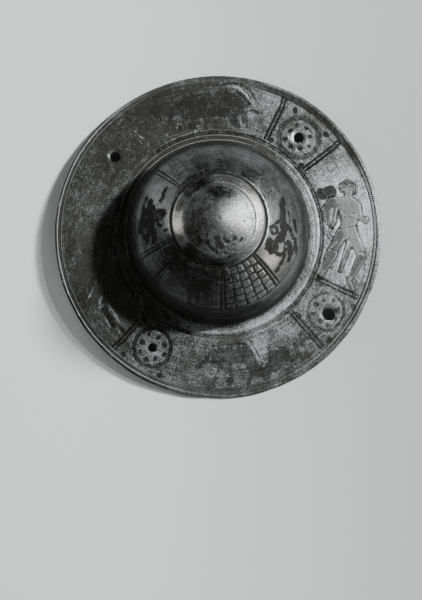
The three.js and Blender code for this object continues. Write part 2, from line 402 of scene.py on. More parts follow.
RIVET_RUB = Figure(
    "rubbed_rivet_place", Zone.FLANGE, (-55.2, 56.9),
    inlay=marks((0.2, 13, 1.4, 12.5, 1.8, 1.6)),
    worn=marks(
        (-3.9, 2, -3.6, -0.4, 0.55, 0.4), ((-5.2, -2.2), (-4.2, -4.6), -0.1),
        ((10, 6), (12, 0.8), (11, -5.4), -0.1), ((8.2, -7.6), (9.8, -9), -0.1),
        ((11.8, 17.1), (21.9, 7), 0), ((13.4, 13.5), (18.5, 5.7), -0.03),
        ((17, 13.2), (25.3, 3.5), -0.07),
    ),
    shade=marks((13, 16, 22, 6.5, 4.6, 5.4), (20, 11, 29, 9, 4, 3)),
    hold=0.4,
    ragged=0.7,
)

GUARD = Figure(
    "guard_with_shield", Zone.DOME, (39.5, -9.8),
    inlay=marks(
        (0.6, 19, 0.8, 15, 1.6, 2.4), (0.4, 12.4, 0.6, 9.6, 2.5, 2.1), (0.2, 7.6, -0.2, -3, 2.9, 2.7),
        (0.4, -3, -1.4, -7.6, 3.4, 3), (2.4, 3.4, 6.6, -1, 1.5, 1.9), (6.6, -1, 9.4, -5.8, 2, 1.8),
        (-2, 4.4, -5.6, 1.2, 1.2, 1.2), (-6.9, -2, 2.5, 1.1), (-3.4, -6.8, -6.4, -9.6, 1.9, 1.8),
        (-9.8, -9.6, -9, -14, 3, 3.2), (-4.4, -17, 2, -17, 1.1, 1.1), (-4.6, -11, -4.4, -16.6, 1.2, 1.2),
        (2.4, -10.6, 2.6, -16.8, 1.5, 1.3), (5.4, -9.6, 8.6, -15, 2.2, 2.8),
        (8.6, -15, 7.4, -22, 2.4, 1.5), (3.1, -17.5, 1, -23, 1.5, 1.4), (1, -23, -4.1, -29.6, 1.5, 1.2),
        (11.6, -6, 14.4, -16, 1.4, 2.2), (10.6, 6, 12, -1, 1, 1.4), (4.4, 12, 6, 4, 0.9, 1.2),
    ),
    ragged=0.9,
)

GUARD_WEST = Figure(
    "guard_with_leaf", Zone.DOME, (-41.0, 11.7),
    inlay=marks(
        (6.4, 8.6, 8.3, 12.7, 1.3, 1.9), (8.3, 12.7, 9.8, 16.6, 1.9, 0.5), (6, -0.4, 3, 1.2),
        (6, -0.4, 6, -0.2, 1, 1), (-2.6, 8.8, -2.4, 6.8, 3, 2.9), (-2.6, 4, -1.6, -5.4, 4.4, 3.6),
        (1.4, 2.6, 3, 1, 2.4, 1.6), (-0.6, -6, 1.4, -12, 2.9, 2.3), (1.4, -12, 0.2, -17, 2.1, 1.7),
        (-3.4, -7.4, -5.2, -16.4, 2.6, 2), (-5.8, 3, -9.4, -5.4, 2, 1.7), (9.7, -9.1, 1.2, 0.7),
        (4.4, -6.4, 7.6, -8.6, 1.4, 1), (-10, 3, -11.4, -10, 1.4, 2.2), (-6.6, 12.6, -8.6, 8, 1.8, 1.4),
        (-7.4, 4.6, -8.4, -6, 3.2, 3), (-1.6, -3, -0.8, -10, 3.6, 2.8), (-8.6, -8, -7.2, -15, 2.4, 2),
    ),
    lines=marks(((3.4, 5.6), (5.6, 9.4), 0.4)),
    ragged=1.1,
)

HOUND = Figure(
    "hound", Zone.DOME, (-15.8, -41.2),
    inlay=marks(
        (-10, 1, 2, 3, 3.8, 3.4), (3, 5, 8.4, 8.6, 2.8, 2.4), (8.4, 8.6, 12.4, 7.4, 2.1, 1.3),
        (-9, -1, -12, -11, 1.8, 1.2), (-5, -1, -5.6, -11.4, 1.7, 1.1), (0.6, 0, 1, -10.6, 1.7, 1.1),
        (6, -8.6, 1.8, 0.7), (-13.6, 2, -18, 6, 1, 0.6),
    ),
    lines=marks(((-14, -12.6), (8, -12), 0.4)),
    hold=0.8,
)

ROSETTE = Figure(
    "crown_scroll", Zone.DOME, (0.0, 0.0),
    lines=marks(
        ((4, 17.2), (7, 18.4), (10.6, 18), (14.6, 15.2), (18, 10.4), 0.25),
        ((-9, -9), (-8, -12), (-9.4, -17), 0.25), ((-3.8, -7.4), (-4.4, -13), 0.25),
        ((9.4, -16), (14.8, -12.6), 0.25),
    ),
    hold=0.5,
    ragged=0.4,
)

RIVET_BURR = Figure(
    "bright_rivet_burr", Zone.FLANGE, (58.8, 50.6),
    worn=marks(
        (-3.5, 2.2, -3.7, -1.4, 0.9, 0.7), (-6.4, 0.4, -5.4, -1, 0.5, 0.4),
        (-1.4, -7.6, -0.2, -8.4, 0.9, 0.6),
    ),
    shade=marks(
        (-7, -2.2, -4.4, -5.4, 1.5, 1.3), (-2.2, -5.6, 2.2, -6.2, 1.1, 1),
        (-1.6, 7.4, -0.6, 6.4, 1.4, 1.1),
    ),
    ragged=0.8,
)

DABS = marks(
    (-7.6, -7.6, -6.4, -9.4, 1.1, 0.8), (-6.4, -14.2, -4.8, -16, 1.3, 0.9),
    (-2.8, -11, -0.6, -10.2, 0.9, 1.1), (-0.8, -14, 1.6, -16.6, 1.6, 1.2),
    (3, -11.4, 4.4, -13, 1.2, 1.5), (5.2, -17.2, 7.8, -15.2, 1.4, 1), (8.2, -10.6, 9.6, -11.8, 0.9, 1),
    (11, -14.2, 12.8, -12, 1.1, 0.8), (-3.4, -18.4, -1, -18.9, 0.9, 0.7), (2, -19.4, 4.8, -18.9, 0.7, 1),
    (-11.6, -10.6, -10.2, -12.6, 1.2, 0.9), (6.6, -7.2, 7.2, -7.6, 0.8, 0.7),
)
CROWN_DABS = Figure(
    "crown_dabs", Zone.DOME, (0.0, 0.0),
    inlay=DABS,
    shade=DABS,
    hold=0.9,
    ragged=1.0,
)

PRICK = Figure(
    "apex_prick", Zone.DOME, (0.0, 0.0),
    inlay=marks((0, 0.1, 0.3, -0.2, 0.75, 0.6)),
    hold=0.85,
    ragged=0.3,
)

FIGURES = (
    HERO, BULL, LION, ELDER, ELDER_FEET, RIVET_RUB, RIVET_BURR,
    GUARD, GUARD_WEST, HOUND, ROSETTE, CROWN_DABS, PRICK,
)


@dataclass(frozen=True)
class Rivet:
    """A lost rivet's place: its hole and the panel drawn round it. Angles in degrees, lengths in mm.

    The halves are half widths of the dark ring and side lines, hold and ring_keep how much of their
    filling has lasted, lip and tear the dished edge, rubbed how far off bright side lines are, and
    worn_side the side whose lines are almost gone.
    """

    turn: float
    reach: float
    bore: float
    ring: float
    half: float
    ring_half: float = 0.6
    side_half: float = 0.6
    hold: float = 1.0
    slip: float = 0.0
    tear: float = 0.0
    lip: float = 0.0
    rubbed: float = FAR_MM
    worn_side: float = 0.0
    ring_keep: float = 1.0

    def centre(self) -> Array:
        """Centre of the hole in the plan."""
        return heading(self.turn) * (self.reach + self.slip)

    def edge(self, angle: Array) -> Array:
        """Radius of the hole: half the bore, pulled outwards by the tear and a little uneven.

        Args:
            angle: directions about the hole's centre.

        Returns:
            Radii in mm.
        """
        pull = np.maximum(np.cos(turn_gap(angle, self.turn)), 0.0) ** 3
        waves = ((0.10, 3, self.turn), (0.07, 5, self.half))
        uneven = sum(depth * np.sin(count * angle + start) for depth, count, start in waves)
        return self.bore / 2 + uneven + self.tear * pull


@dataclass(frozen=True)
class PunchedDots:
    """A round of dots about a rivet hole: their number, distance and size in mm, and how uneven they are."""

    count: int
    far: float
    size: float
    ragged: float
    far_swing: float = 0.0
    size_swing: float = 0.0
    offset: float = 0.0
    pace: Point = (2.3, 4.1)

    def distance(self, off: Array, turn: Array, facing: float, order: int, edge: Array) -> Array:
        """Distance to the nearest dot.

        The angle is folded to one dot's share of the round; sines of the dot's number move it in or
        out and change its size, and the edge noise makes it ragged.

        Args:
            off: distance from the hole's centre in mm.
            turn: angle about the hole's centre.
            facing: angle of the panel in degrees.
            order: number of the panel, so that no two are alike.
            edge: noise in mm.

        Returns:
            Distances in mm, negative inside a dot.
        """
        step = 2.0 * np.pi / self.count
        ahead = turn - np.radians(facing + self.offset)
        number = np.round(ahead / step)
        far = self.far + self.far_swing * np.sin(self.pace[0] * number + order)
        size = self.size + self.size_swing * np.sin(self.pace[1] * number + 2 * order)
        return np.hypot(off - far, (ahead - number * step) * far) - size + self.ragged * edge


RING_DOTS = PunchedDots(8, 7.5, 1.5, 0.8, 0.9, 0.35)
CORNER_DOTS = PunchedDots(4, 17.4, 1.9, 0.9, offset=45.0)


@dataclass(frozen=True)
class PanelStyle:
    """How every rivet panel is drawn, in mm."""

    hold_reach: float = 25.0
    ring_margin: float = 0.6
    inner_place: float = 0.8
    inner_half: float = 0.22
    side_margin: float = 1.2
    side_groove: float = 0.3
    side_ragged: float = 0.4
    worn_reach: float = 4.0
    worn_hold: float = 0.14
    corner_reach: float = 22.0


@dataclass(frozen=True)
class DomePanel:
    """A lattice or plain panel between two figures of the dome, from one angle to another in degrees.

    Line and side are half widths in mm of its lattice and its double borders, gap is the borders'
    spacing in radians, and worn_side the side whose borders are almost gone.
    """

    start: float
    stop: float
    columns: int
    rows: int
    line: float
    side: float = 0.0
    worn_side: float = 0.0
    gap: float = 0.052
    inner_extra: float = 0.1
    stagger: float = 0.2
    stagger_pace: float = 2.7


@dataclass(frozen=True)
class Patch:
    """A round spot in the plan: where more or less of the tin has lasted or light and shade are painted, or
    a pit by its depth in mm.
    """

    place: Point
    radius: float
    gain: float

    def amount(self, x: Array, y: Array) -> Array:
        """Bell curve over the plan: the gain at its middle, falling off with the squared distance."""
        off = ((x - self.place[0]) ** 2 + (y - self.place[1]) ** 2) / self.radius**2
        return self.gain * np.exp(-off)


# Tin patches of the flange; the patch at (-66, -16) is a painted shadow where the dome's shadow falls.
FLANGE_TIN_AND_SHADOW = (
    Patch((80.0, -8.0), 24.0, 0.42), Patch((76.0, -30.0), 12.0, 0.24), Patch((82.0, 18.0), 12.0, 0.22),
    Patch((58.0, 49.0), 13.0, 0.13), Patch((44.0, 76.0), 11.0, 0.18), Patch((57.0, -58.0), 14.0, 0.16),
    Patch((-51.0, -62.0), 13.0, 0.22), Patch((18.0, -70.0), 12.0, 0.16), Patch((-20.0, -84.0), 20.0, 0.06),
    Patch((13.2, -74.5), 5.0, 0.19), Patch((-62.0, -44.0), 12.0, -0.14),
    Patch((-66.0, -16.0), 18.0, -0.20), Patch((-46.0, -50.0), 12.0, -0.12),
    Patch((-55.0, 56.0), 24.0, -0.14), Patch((-84.0, 0.0), 26.0, -0.06), Patch((-20.0, 82.0), 24.0, -0.12),
)
# Tin patches of the dome; the patch at (6, -1.5) is a partly painted highlight where the key lamp's
# highlight falls on the cap.
DOME_TIN_AND_HIGHLIGHT = (
    Patch((30.0, -24.0), 16.0, 0.38), Patch((-31.0, 9.0), 9.0, 0.34), Patch((20.0, -34.0), 16.0, 0.34),
    Patch((28.0, 24.0), 16.0, 0.02), Patch((-12.0, -40.0), 18.0, -0.22), Patch((-14.0, 0.0), 9.0, -0.13),
    Patch((-34.0, 26.0), 12.0, 0.10), Patch((6.0, -1.5), 11.0, 0.31), Patch((0.0, -16.0), 9.0, 0.12),
    Patch((1.0, 17.0), 7.0, -0.16), Patch((-30.0, -20.0), 14.0, -0.20), Patch((-9.0, 41.0), 11.0, -0.13),
)
PITS = (
    Patch((-18.2, 76.5), 1.5, 0.5), Patch((-80.1, 22.0), 1.4, 0.5), Patch((-84.1, 2.8), 1.3, 0.5),
    Patch((-13.6, 69.5), 1.0, 0.5), Patch((0.0, 0.0), 0.9, 0.12),
)


@dataclass(frozen=True)
class Station:
    """A run of rings along the profile: radius, height and outward normal of each, and facets round."""

    reach: Array
    height: Array
    normal_reach: Array
    normal_height: Array
    count: int
    face: bool


@dataclass(frozen=True)
class BossForm:
    """Sizes of the bent sheet in mm, the same as the solid's."""

    sheet: float = 1.4
    rim: float = 100.0
    rim_stretch: float = 1.0
    rim_round: float = 0.5
    drop: float = 10.0
    rest_trim: float = 0.35
    dome: float = 55.0
    dome_centre: float = 2.5
    cove: float = 3.0
    fade_top: float = 25.0
    rope: float = 94.8
    rope_bed: Band = Band((95.5, 96.2), (97.1, 97.8))
    rope_depth: float = 0.14
    foot_bed: Band = Band((62.6, 63.3), (65.1, 65.8))
    foot_depth: float = 0.12
    foot_lines: tuple[Point, ...] = ((62.6, 0.5), (64.1, 0.6), (59.4, 0.12))
    panel_foot: float = 49.0
    crown: float = 27.3
    crown_inner: float = 21.0
    ring_halves: tuple[float, float, float] = (0.55, 0.95, 0.4)
    crown_rise: float = 2.3
    crown_blunt: float = 0.13
    shift: Point = (-0.5, 0.5)
    shift_zone: Band = Band((88.0, 93.0), (98.8, 100.0))
    rim_fade: Point = (98.9, 99.6)
    wobble_zone: Point = (97.0, 99.6)
    wobble_inset: float = 0.2
    panel_reach: Point = (66.5, 93.5)
    double_gap: float = 2.2
    facets: int = 200
    dome_rings: tuple[int, int, int] = (38, 44, 10)
    flange_rings: tuple[int, int] = (4, 60)
    back_rings: tuple[int, int, int] = (20, 3, 22)
    back_rim: float = 0.2
    back_polar: Point = (1.5, 0.06)
    rivets: tuple[Rivet, ...] = (
        Rivet(40.7, 77.6, 6.5, 12.6, 13.3, 1.7, 1.0, 1.0, lip=-0.45, ring_keep=0.74),
        Rivet(133.9, 79.4, 6.3, 11.6, 14.6, 0.6, 0.4, 0.18, lip=-0.4, rubbed=0.14),
        Rivet(230.6, 80.4, 5.4, 11.4, 12.0, 1.1, 0.7, 0.95, lip=-0.2, worn_side=1.0),
        Rivet(314.6, 81.2, 7.4, 11.2, 11.4, 0.9, 1.0, 0.78, slip=1.8, tear=0.9, lip=-0.35),
    )
    panels: tuple[DomePanel, ...] = (
        DomePanel(265.6, 304.6, 5, 6, 0.64),
        DomePanel(88.6, 127.6, 5, 6, 0.14, 0.42, -1.0),
        DomePanel(194.0, 210.0, 1, 1, 0.45),
        DomePanel(35.0, 56.0, 1, 1, 0.10),
    )

    def cap(self, reach: Array) -> Array:
        """Rise of the crown in mm: the square of one less its reach, blunted at the point."""
        share = np.hypot(reach / self.crown_inner, self.crown_blunt)
        return self.crown_rise * np.clip(1.0 - share, 0.0, 1.0) ** 2

    def arc_of(self, reach: float) -> float:
        """Length along the dome from its top to a ring: radius times the arcsine of reach over radius."""
        return self.dome * float(np.arcsin(min(reach / self.dome, 1.0)))

    def settle(self, x: Array, y: Array, z: Array) -> Array:
        """Bends a straight-built point to the real sheet and lifts it onto the floor.

        The height drops with the square of y, fading out up the dome; y is stretched a little towards
        the rim, and the border rings are shifted to one side.

        Args:
            x: straight positions in mm.
            y: straight positions in mm.
            z: straight heights in mm.

        Returns:
            Positions in metres, one row a point.
        """
        reach = np.hypot(x, y)
        border = self.shift_zone.share(reach)
        stretch = 1.0 + self.rim_stretch / self.rim * ramp(reach, self.dome, self.rim)
        hold = 1.0 - ramp(z, self.cove, self.fade_top)
        low = z - self.drop * (y / self.rim) ** 2 * hold
        lift = self.drop + self.sheet - self.rest_trim
        moved_y = (y + self.shift[1] * border) * stretch
        height = np.maximum(low + lift, 0.0)
        return np.stack([x + self.shift[0] * border, moved_y, height], axis=1) * MM

    def spherical(
        self, radius: float, low: float, high: float, rings: int, count: int, face: bool,
    ) -> Station:
        """Rings of a sphere about the dome's centre.

        Args:
            radius: the sphere's radius in mm.
            low: polar angle in radians where the rings start.
            high: polar angle where they stop.
            rings: how many rings.
            count: vertices in each ring.
            face: True on the face, False on the back.

        Returns:
            The run of rings.
        """
        polar = np.linspace(low, high, rings + 1)[1:]
        out = 1.0 if face else -1.0
        return Station(
            radius * np.sin(polar), self.dome_centre + radius * np.cos(polar),
            out * np.sin(polar), out * np.cos(polar), count, face,
        )

    def hollow(
        self, radius: float, start: float, stop: float, rings: int, count: int, face: bool,
    ) -> Station:
        """Rings of the cove at the dome's foot.

        Args:
            radius: the cove's radius in mm.
            start: angle in degrees where the rings start.
            stop: angle where they stop.
            rings: how many rings.
            count: vertices in each ring.
            face: True on the face, False on the back.

        Returns:
            The run of rings.
        """
        turn = np.radians(np.linspace(start, stop, rings + 1)[1:])
        mid = self.dome + self.cove
        out = -1.0 if face else 1.0
        return Station(
            mid + radius * np.cos(turn), self.cove + radius * np.sin(turn),
            out * np.cos(turn), out * np.sin(turn), count, face,
        )

    def level(
        self, start: float, stop: float, height: float, rings: int, count: int, face: bool,
    ) -> Station:
        """Rings of a flat stretch of the flange.

        Args:
            start: radius in mm where the rings start.
            stop: radius where they stop.
            height: their height in mm.
            rings: how many rings.
            count: vertices in each ring.
            face: True on the face, False on the back.

        Returns:
            The run of rings.
        """
        reach = np.linspace(start, stop, rings + 1)[1:]
        flat = np.zeros_like(reach)
        return Station(reach, flat + height, flat, flat + (1.0 if face else -1.0), count, face)

    def stations(self) -> list[Station]:
        """The profile from the top of the dome out over the rim and back underneath to the hollow's top.

        Returns:
            Runs of rings in that order.
        """
        crown = np.arcsin(self.crown / self.dome)
        foot = np.arcsin(self.panel_foot / self.dome)
        wide = np.arccos((self.cove - self.dome_centre) / self.dome)
        inner = self.dome - self.sheet
        n, mid = self.facets, self.dome + self.cove
        cap, wall, skirt = self.dome_rings
        cove, plate = self.flange_rings
        under, corner, vault = self.back_rings
        edge = self.rim - self.rim_round
        # Four rings round the edge of the rim: how far out, how low, and which way each faces.
        out, low = np.array([0.28, 0.5, 0.5, 0.36]), np.array([-0.10, -0.5, -0.9, -1.3])
        lean, rise = np.array([0.5, 0.9, 1.0, 0.9]), np.array([0.87, 0.43, 0.0, -0.43])
        return [
            self.spherical(self.dome, 0.0, crown, cap, n, True),
            self.spherical(self.dome, crown, foot, wall, 2 * n, True),
            self.spherical(self.dome, foot, wide, skirt, 2 * n, True),
            self.hollow(self.cove, 180.0, 270.0, cove, 2 * n, True),
            self.level(mid, edge, 0.0, plate, 4 * n, True),
            Station(edge + out, low, lean, rise, 4 * n, True),
            self.level(self.rim - self.back_rim, mid, -self.sheet, under, 2 * n, False),
            self.hollow(self.cove + self.sheet, 270.0, 180.0, corner, n, False),
            self.spherical(inner, *self.back_polar, vault, n // 2, False),
        ]


@dataclass(frozen=True)
class Weathering:
    """How time, soil and handling have changed the face, with painted highlights and painted shade on some
    sides: zones in mm, sides in degrees, shares 0 to 1.
    """

    flange_tin: float = 0.225
    foot_slope: Band = Band((56.5, 57.5), (61.4, 62.2))
    # Painted highlight and shade on the foot's slope: brighter where it faces the key lamp, brighter towards
    # the bottom and darker towards the top.
    foot_highlight_facing: float = -5.0
    foot_painted_highlight: float = 0.34
    foot_painted_light_sides: tuple[tuple[Side, float], ...] = ((Side(-85.0, 50.0), 0.42), (Side(105.0, 60.0), -0.12))
    foot_loss: float = 0.2
    dome_tin: float = 0.31
    crown_band: Band = Band((20.6, 21.2), (26.2, 27.0))
    # Partly painted highlight: the crown band keeps more tin where the lamps' highlights fall on it.
    crown_tin_at_highlights: tuple[tuple[Side, float], ...] = ((Side(172.0, 42.0), 0.60), (Side(30.0, 75.0), 0.42))
    crown_loss: float = 0.08
    # Painted highlight: tin on the ridge's side that faces the key lamp.
    ridge: Band = Band((19.0, 19.5), (20.1, 20.6))
    ridge_lit_side: Side = Side(48.0, 60.0)
    ridge_tin_highlight: float = 0.5
    skirt_edge: Point = (49.0, 50.5)
    skirt_loss: float = 0.24
    worn_edge: Point = (-0.3, 0.5)
    worn_tin: float = 0.5

    # Soil and painted shade in the dome's cove and lower wall.
    wall: Band = Band((52.6, 54.6), (56.2, 58.0))
    cove_soil_and_shade: float = 0.85
    skirt: Band = Band((48.8, 50.0), (54.0, 56.0))
    skirt_soil_and_shade: float = 0.3
    # Painted shade on the side away from the key lamp; the grime there is deepened too.
    key_lit_facing: float = 20.0
    west_edge: Point = (0.2, 1.0)
    west_soil_and_shade: float = 0.25
    grime_base: float = 0.4
    # A darker outer margin of the rim on the left side.
    margin_edge: Point = (98.15, 98.5)
    margin_side: Side = Side(185.0, 85.0)
    shade_edge: Point = (-0.5, 0.5)
    shade_soil: float = 0.62
    # Painted shade on the cap's left, away from the key lamp.
    cap_slope: Band = Band((2.0, 9.0), (19.6, 20.6))
    cap_shaded_side: Side = Side(170.0, 80.0)
    cap_painted_shade: float = 0.75

    lined_side: Side = Side(180.0, 85.0)
    lined: float = 0.85
    solid_side: Side = Side(40.0, 34.0)
    bead_side: Side = Side(-20.0, 58.0)
    bead_lined: float = 0.05
    bead_base: float = 0.12
    rope_side: Side = Side(5.0, 75.0)
    rope_base: float = 0.42
    rope_gain: float = 0.58
    rope_lined: float = 0.6
    foot_side: Side = Side(105.0, 55.0)
    foot_lined: float = 0.8

    ring_zone: float = 1.5
    ring_side: Side = Side(25.0, 80.0)
    ring_hold: Point = (0.2, 0.7)
    foot_zone: Point = (60.8, 66.2)
    foot_worn: Side = Side(270.0, 62.0)
    foot_worn_loss: float = 0.7

    groove_depth: float = 0.30
    groove_edge: Point = (-0.45, 0.35)
    inlay_depth: float = 0.07
    inlay_edge: Point = (-0.4, 0.4)
    dent_depth: float = 0.2
    dent_edge: Point = (-0.9, 0.7)
    lip_width: float = 1.1


class Engraving:
    """The drawing on the face: distances to its lines and inlays, how much tin has lasted where, and where
    light and shade are painted.
    """

    figure_span: float = 62.0
    hold_reach: float = 3.0

    def __init__(self, form: BossForm, x: Array, y: Array, arc: Array, dome: Array) -> None:
        """Keeps the face's straight plan positions, arc lengths and which points are on the dome.

        Args:
            form: sizes of the sheet.
            x: plan positions in mm.
            y: plan positions in mm.
            arc: length along the profile from the top of the dome, in mm.
            dome: True for points on the dome.
        """
        self.form, self.wear, self.style = form, Weathering(), PanelStyle()
        self.x, self.y, self.arc, self.dome, self.flange = x, y, arc, dome, ~dome
        self.reach = np.hypot(x, y)
        self.angle = np.arctan2(y, x)
        self.groove, self.bare, self.dark, self.worn, self.shade = np.full((5, x.size), FAR_MM)
        self.hold = np.ones(x.shape)

    def cut(self, where: Array, distance: Array) -> None:
        """Adds an engraved line wherever its distance is the least so far."""
        self.groove = np.where(where, np.minimum(self.groove, distance), self.groove)

    def inlay(self, where: Array, distance: Array) -> None:
        """Adds a dark inlaid mark wherever its distance is the least so far."""
        self.dark = np.where(where, np.minimum(self.dark, distance), self.dark)

    def toward(self, side: Side) -> Array:
        """How much each point lies on a side of the boss."""
        return side.share(self.angle)

    def sided(self, gains: tuple[tuple[Side, float], ...]) -> Array:
        """Sum of several sides, each with its own gain."""
        return sum(gain * self.toward(side) for side, gain in gains)

    def spots(self, patches: tuple[Patch, ...]) -> Array:
        """Sum of round spots over the plan."""
        return sum(patch.amount(self.x, self.y) for patch in patches)

    def rings(self) -> None:
        """Lines that run right round: distance along the profile to the ring, less half a width."""
        form, wear = self.form, self.wear
        reaches = (form.panel_foot, form.crown, form.crown_inner)
        for reach, half in zip(reaches, form.ring_halves):
            self.cut(self.dome, np.abs(self.arc - form.arc_of(reach)) - half)
        inner = self.dome & (np.abs(self.reach - form.crown_inner) < wear.ring_zone)
        low, gain = wear.ring_hold
        self.hold = np.where(inner, low + gain * self.toward(wear.ring_side), self.hold)
        for reach, half in form.foot_lines:
            self.cut(self.flange, np.abs(self.reach - reach) - half)
        foot = self.flange & (self.reach > wear.foot_zone[0]) & (self.reach < wear.foot_zone[1])
        self.hold = np.where(foot, 1.0 - wear.foot_worn_loss * self.toward(wear.foot_worn), self.hold)

    def rivet_panels(self) -> None:
        """Ring, double side lines and punched dots of each rivet panel, all with a wandering edge."""
        style, edge = self.style, Noise.PANEL_EDGE.over(self.x, self.y)
        for order, rivet in enumerate(self.form.rivets):
            mid = heading(rivet.turn) * rivet.reach
            dx, dy = self.x - mid[0], self.y - mid[1]
            off, turn = np.hypot(dx, dy), np.arctan2(dy, dx)
            near = self.flange & (off < style.hold_reach)
            self.hold = np.where(near, rivet.hold, self.hold)
            from_ring = off - rivet.ring
            on_ring = self.flange & (np.abs(from_ring) < rivet.ring_half + style.ring_margin)
            self.hold = np.where(on_ring, rivet.hold * rivet.ring_keep, self.hold)
            self.inlay(self.flange, np.abs(from_ring) - rivet.ring_half + edge)
            inner = np.abs(from_ring + style.inner_place * rivet.ring_half)
            self.cut(self.flange, inner - style.inner_half)
            for side in (-1.0, 1.0):
                self.side_lines(rivet, side, edge)
            self.inlay(self.flange, RING_DOTS.distance(off, turn, rivet.turn, order, edge))
            corner = self.flange & (off < style.corner_reach)
            self.inlay(corner, CORNER_DOTS.distance(off, turn, rivet.turn, order, edge))

    def side_lines(self, rivet: Rivet, side: float, edge: Array) -> None:
        """The double line on one side of a rivet panel: distance to two parallel rays from the middle.

        Args:
            rivet: the panel's rivet.
            side: minus one or one.
            edge: noise in mm.
        """
        form, style = self.form, self.style
        across = heading(rivet.turn + side * rivet.half)
        sideways = self.y * across[0] - self.x * across[1]
        ahead = self.x * across[0] + self.y * across[1] > 0
        low, high = form.panel_reach
        margin = style.side_margin
        where = self.flange & (self.reach > low - margin) & (self.reach < high + margin) & ahead
        if side == rivet.worn_side:
            rubbed = where & (np.abs(sideways) < style.worn_reach)
            self.hold = np.where(rubbed, style.worn_hold, self.hold)
        for shift in (-form.double_gap / 2, form.double_gap / 2):
            line = np.abs(sideways - shift)
            self.inlay(where, line - rivet.side_half + style.side_ragged * edge)
            self.cut(where, line - style.side_groove)
            self.worn = np.where(where, np.minimum(self.worn, line + rivet.rubbed), self.worn)

    def dome_panels(self) -> None:
        """Side borders and lattice lines of the panels between the dome's figures.

        The lattice is cut by hand: its lines wander and thicken by soft noises, and its rows step up
        or down from column to column by a sine of the column's number, less towards both ends.
        """
        form = self.form
        low, high = form.arc_of(form.crown), form.arc_of(form.panel_foot)
        wander = Noise.LATTICE_WANDER.over(self.x, self.y) / np.maximum(self.reach, 1.0)
        swell = Noise.LATTICE_SWELL.over(self.x, self.y)
        tall = self.dome & (self.arc > low) & (self.arc < high)
        climb = (self.arc - low) / (high - low)
        for panel in form.panels:
            wide = np.radians(panel.stop - panel.start)
            gap = turn_gap(self.angle, (panel.start + panel.stop) / 2)
            for side in (-1.0, 1.0):
                half = 0.0 if side == panel.worn_side else max(panel.line, panel.side)
                inner = np.abs(gap - side * wide / 2) * self.reach
                self.cut(tall, inner - half - panel.inner_extra)
                outer = np.abs(gap - side * (wide / 2 + panel.gap)) * self.reach
                self.cut(tall, outer - half)
            inside = tall & (np.abs(gap) < wide / 2)
            share = (gap + wander + wide / 2) / wide * panel.columns
            column = np.abs(share - np.round(share)) / panel.columns * wide * self.reach
            self.cut(inside, column - panel.line + swell)
            ends = np.sin(np.pi * np.clip(climb, 0.0, 1.0))
            step = panel.stagger * ends * np.sin(panel.stagger_pace * np.floor(share))
            rise = climb * panel.rows + step
            row = np.abs(rise - np.round(rise)) / panel.rows * (high - low)
            self.cut(inside, row - panel.line - swell)

    def figures(self) -> None:
        """Stock figures, laid in the plan on the flange and on the unrolled dome."""
        flat = np.where(self.dome, self.arc / np.maximum(self.reach, 1e-6), 1.0)
        u, v = self.x * flat, self.y * flat
        rough = Noise.FIGURE_EDGE.over(u, v)
        nearest = np.minimum(self.groove, self.hold_reach)
        for figure in FIGURES:
            where = self.dome if figure.zone is Zone.DOME else self.flange
            off = np.hypot(u - figure.place[0], v - figure.place[1])
            near = np.flatnonzero(where & (off < self.figure_span))
            found = figure.distances(u[near], v[near], rough[near])
            closest = np.min(found[:3], axis=0)
            nearer = closest < nearest[near]
            self.hold[near[nearer]] = figure.hold
            nearest[near] = np.minimum(nearest[near], closest)
            kept = (self.bare, self.dark, self.groove, self.worn, self.shade)
            for values, distance in zip(kept, found):
                values[near] = np.minimum(values[near], distance)
        plate = (self.reach > self.form.panel_reach[0]) & (self.reach < self.form.rope)
        self.bare = np.where(self.dome | plate, self.bare, FAR_MM)

    def border(self) -> dict[str, Array]:
        """How border and foot have lasted by direction: bright lines, dark filling, bright beads.

        Returns:
            Shares from 0 to 1 by name.
        """
        wear = self.wear
        lined = wear.lined * self.toward(wear.lined_side)
        solid = self.toward(wear.solid_side)
        beads = self.toward(wear.bead_side) + wear.bead_lined * lined + wear.bead_base
        rope = wear.rope_base + wear.rope_gain * self.toward(wear.rope_side) + wear.rope_lined * lined
        named = {
            "lined": lined, "solid": solid, "beaded": beads * (1.0 - solid), "roped": rope,
            "foot_lined": wear.foot_lined * self.toward(wear.foot_side),
        }
        return {name: np.clip(value, 0.0, 1.0) for name, value in named.items()}

    def tin_and_painted_light(self) -> Array:
        """How much tin has lasted, with painted light: a base for each zone plus broad patches and mottling,
        painted highlights on the foot and ridge where they face the key lamp, more tin on the crown band
        where the lamps' highlights fall, and a painted shadow in one flange patch.

        Returns:
            Shares from 0 to 1.
        """
        wear = self.wear
        # Painted highlight on the foot's slope where it faces the key lamp, with painted light and shade by
        # side.
        facing = np.maximum(np.cos(turn_gap(self.angle, wear.foot_highlight_facing)), 0.0) ** 2
        foot = wear.foot_painted_highlight * facing + self.sided(wear.foot_painted_light_sides) - wear.foot_loss
        flange = wear.flange_tin + self.spots(FLANGE_TIN_AND_SHADOW) + wear.foot_slope.share(self.reach) * foot
        # Partly painted highlight: more tin on the crown band where the lamps' highlights fall.
        crown = self.sided(wear.crown_tin_at_highlights) - wear.crown_loss
        dome = wear.dome_tin + self.spots(DOME_TIN_AND_HIGHLIGHT) + wear.crown_band.share(self.reach) * crown
        # Painted highlight on the ridge's side facing the key lamp.
        dome += wear.ridge_tin_highlight * wear.ridge.share(self.reach) * self.toward(wear.ridge_lit_side)
        dome -= wear.skirt_loss * ramp(self.reach, *wear.skirt_edge)
        amount = np.where(self.dome, dome, flange) + Noise.TIN.over(self.x, self.y)
        amount += wear.worn_tin * (1.0 - ramp(self.worn, *wear.worn_edge))
        return np.clip(amount, 0.0, 1.0)

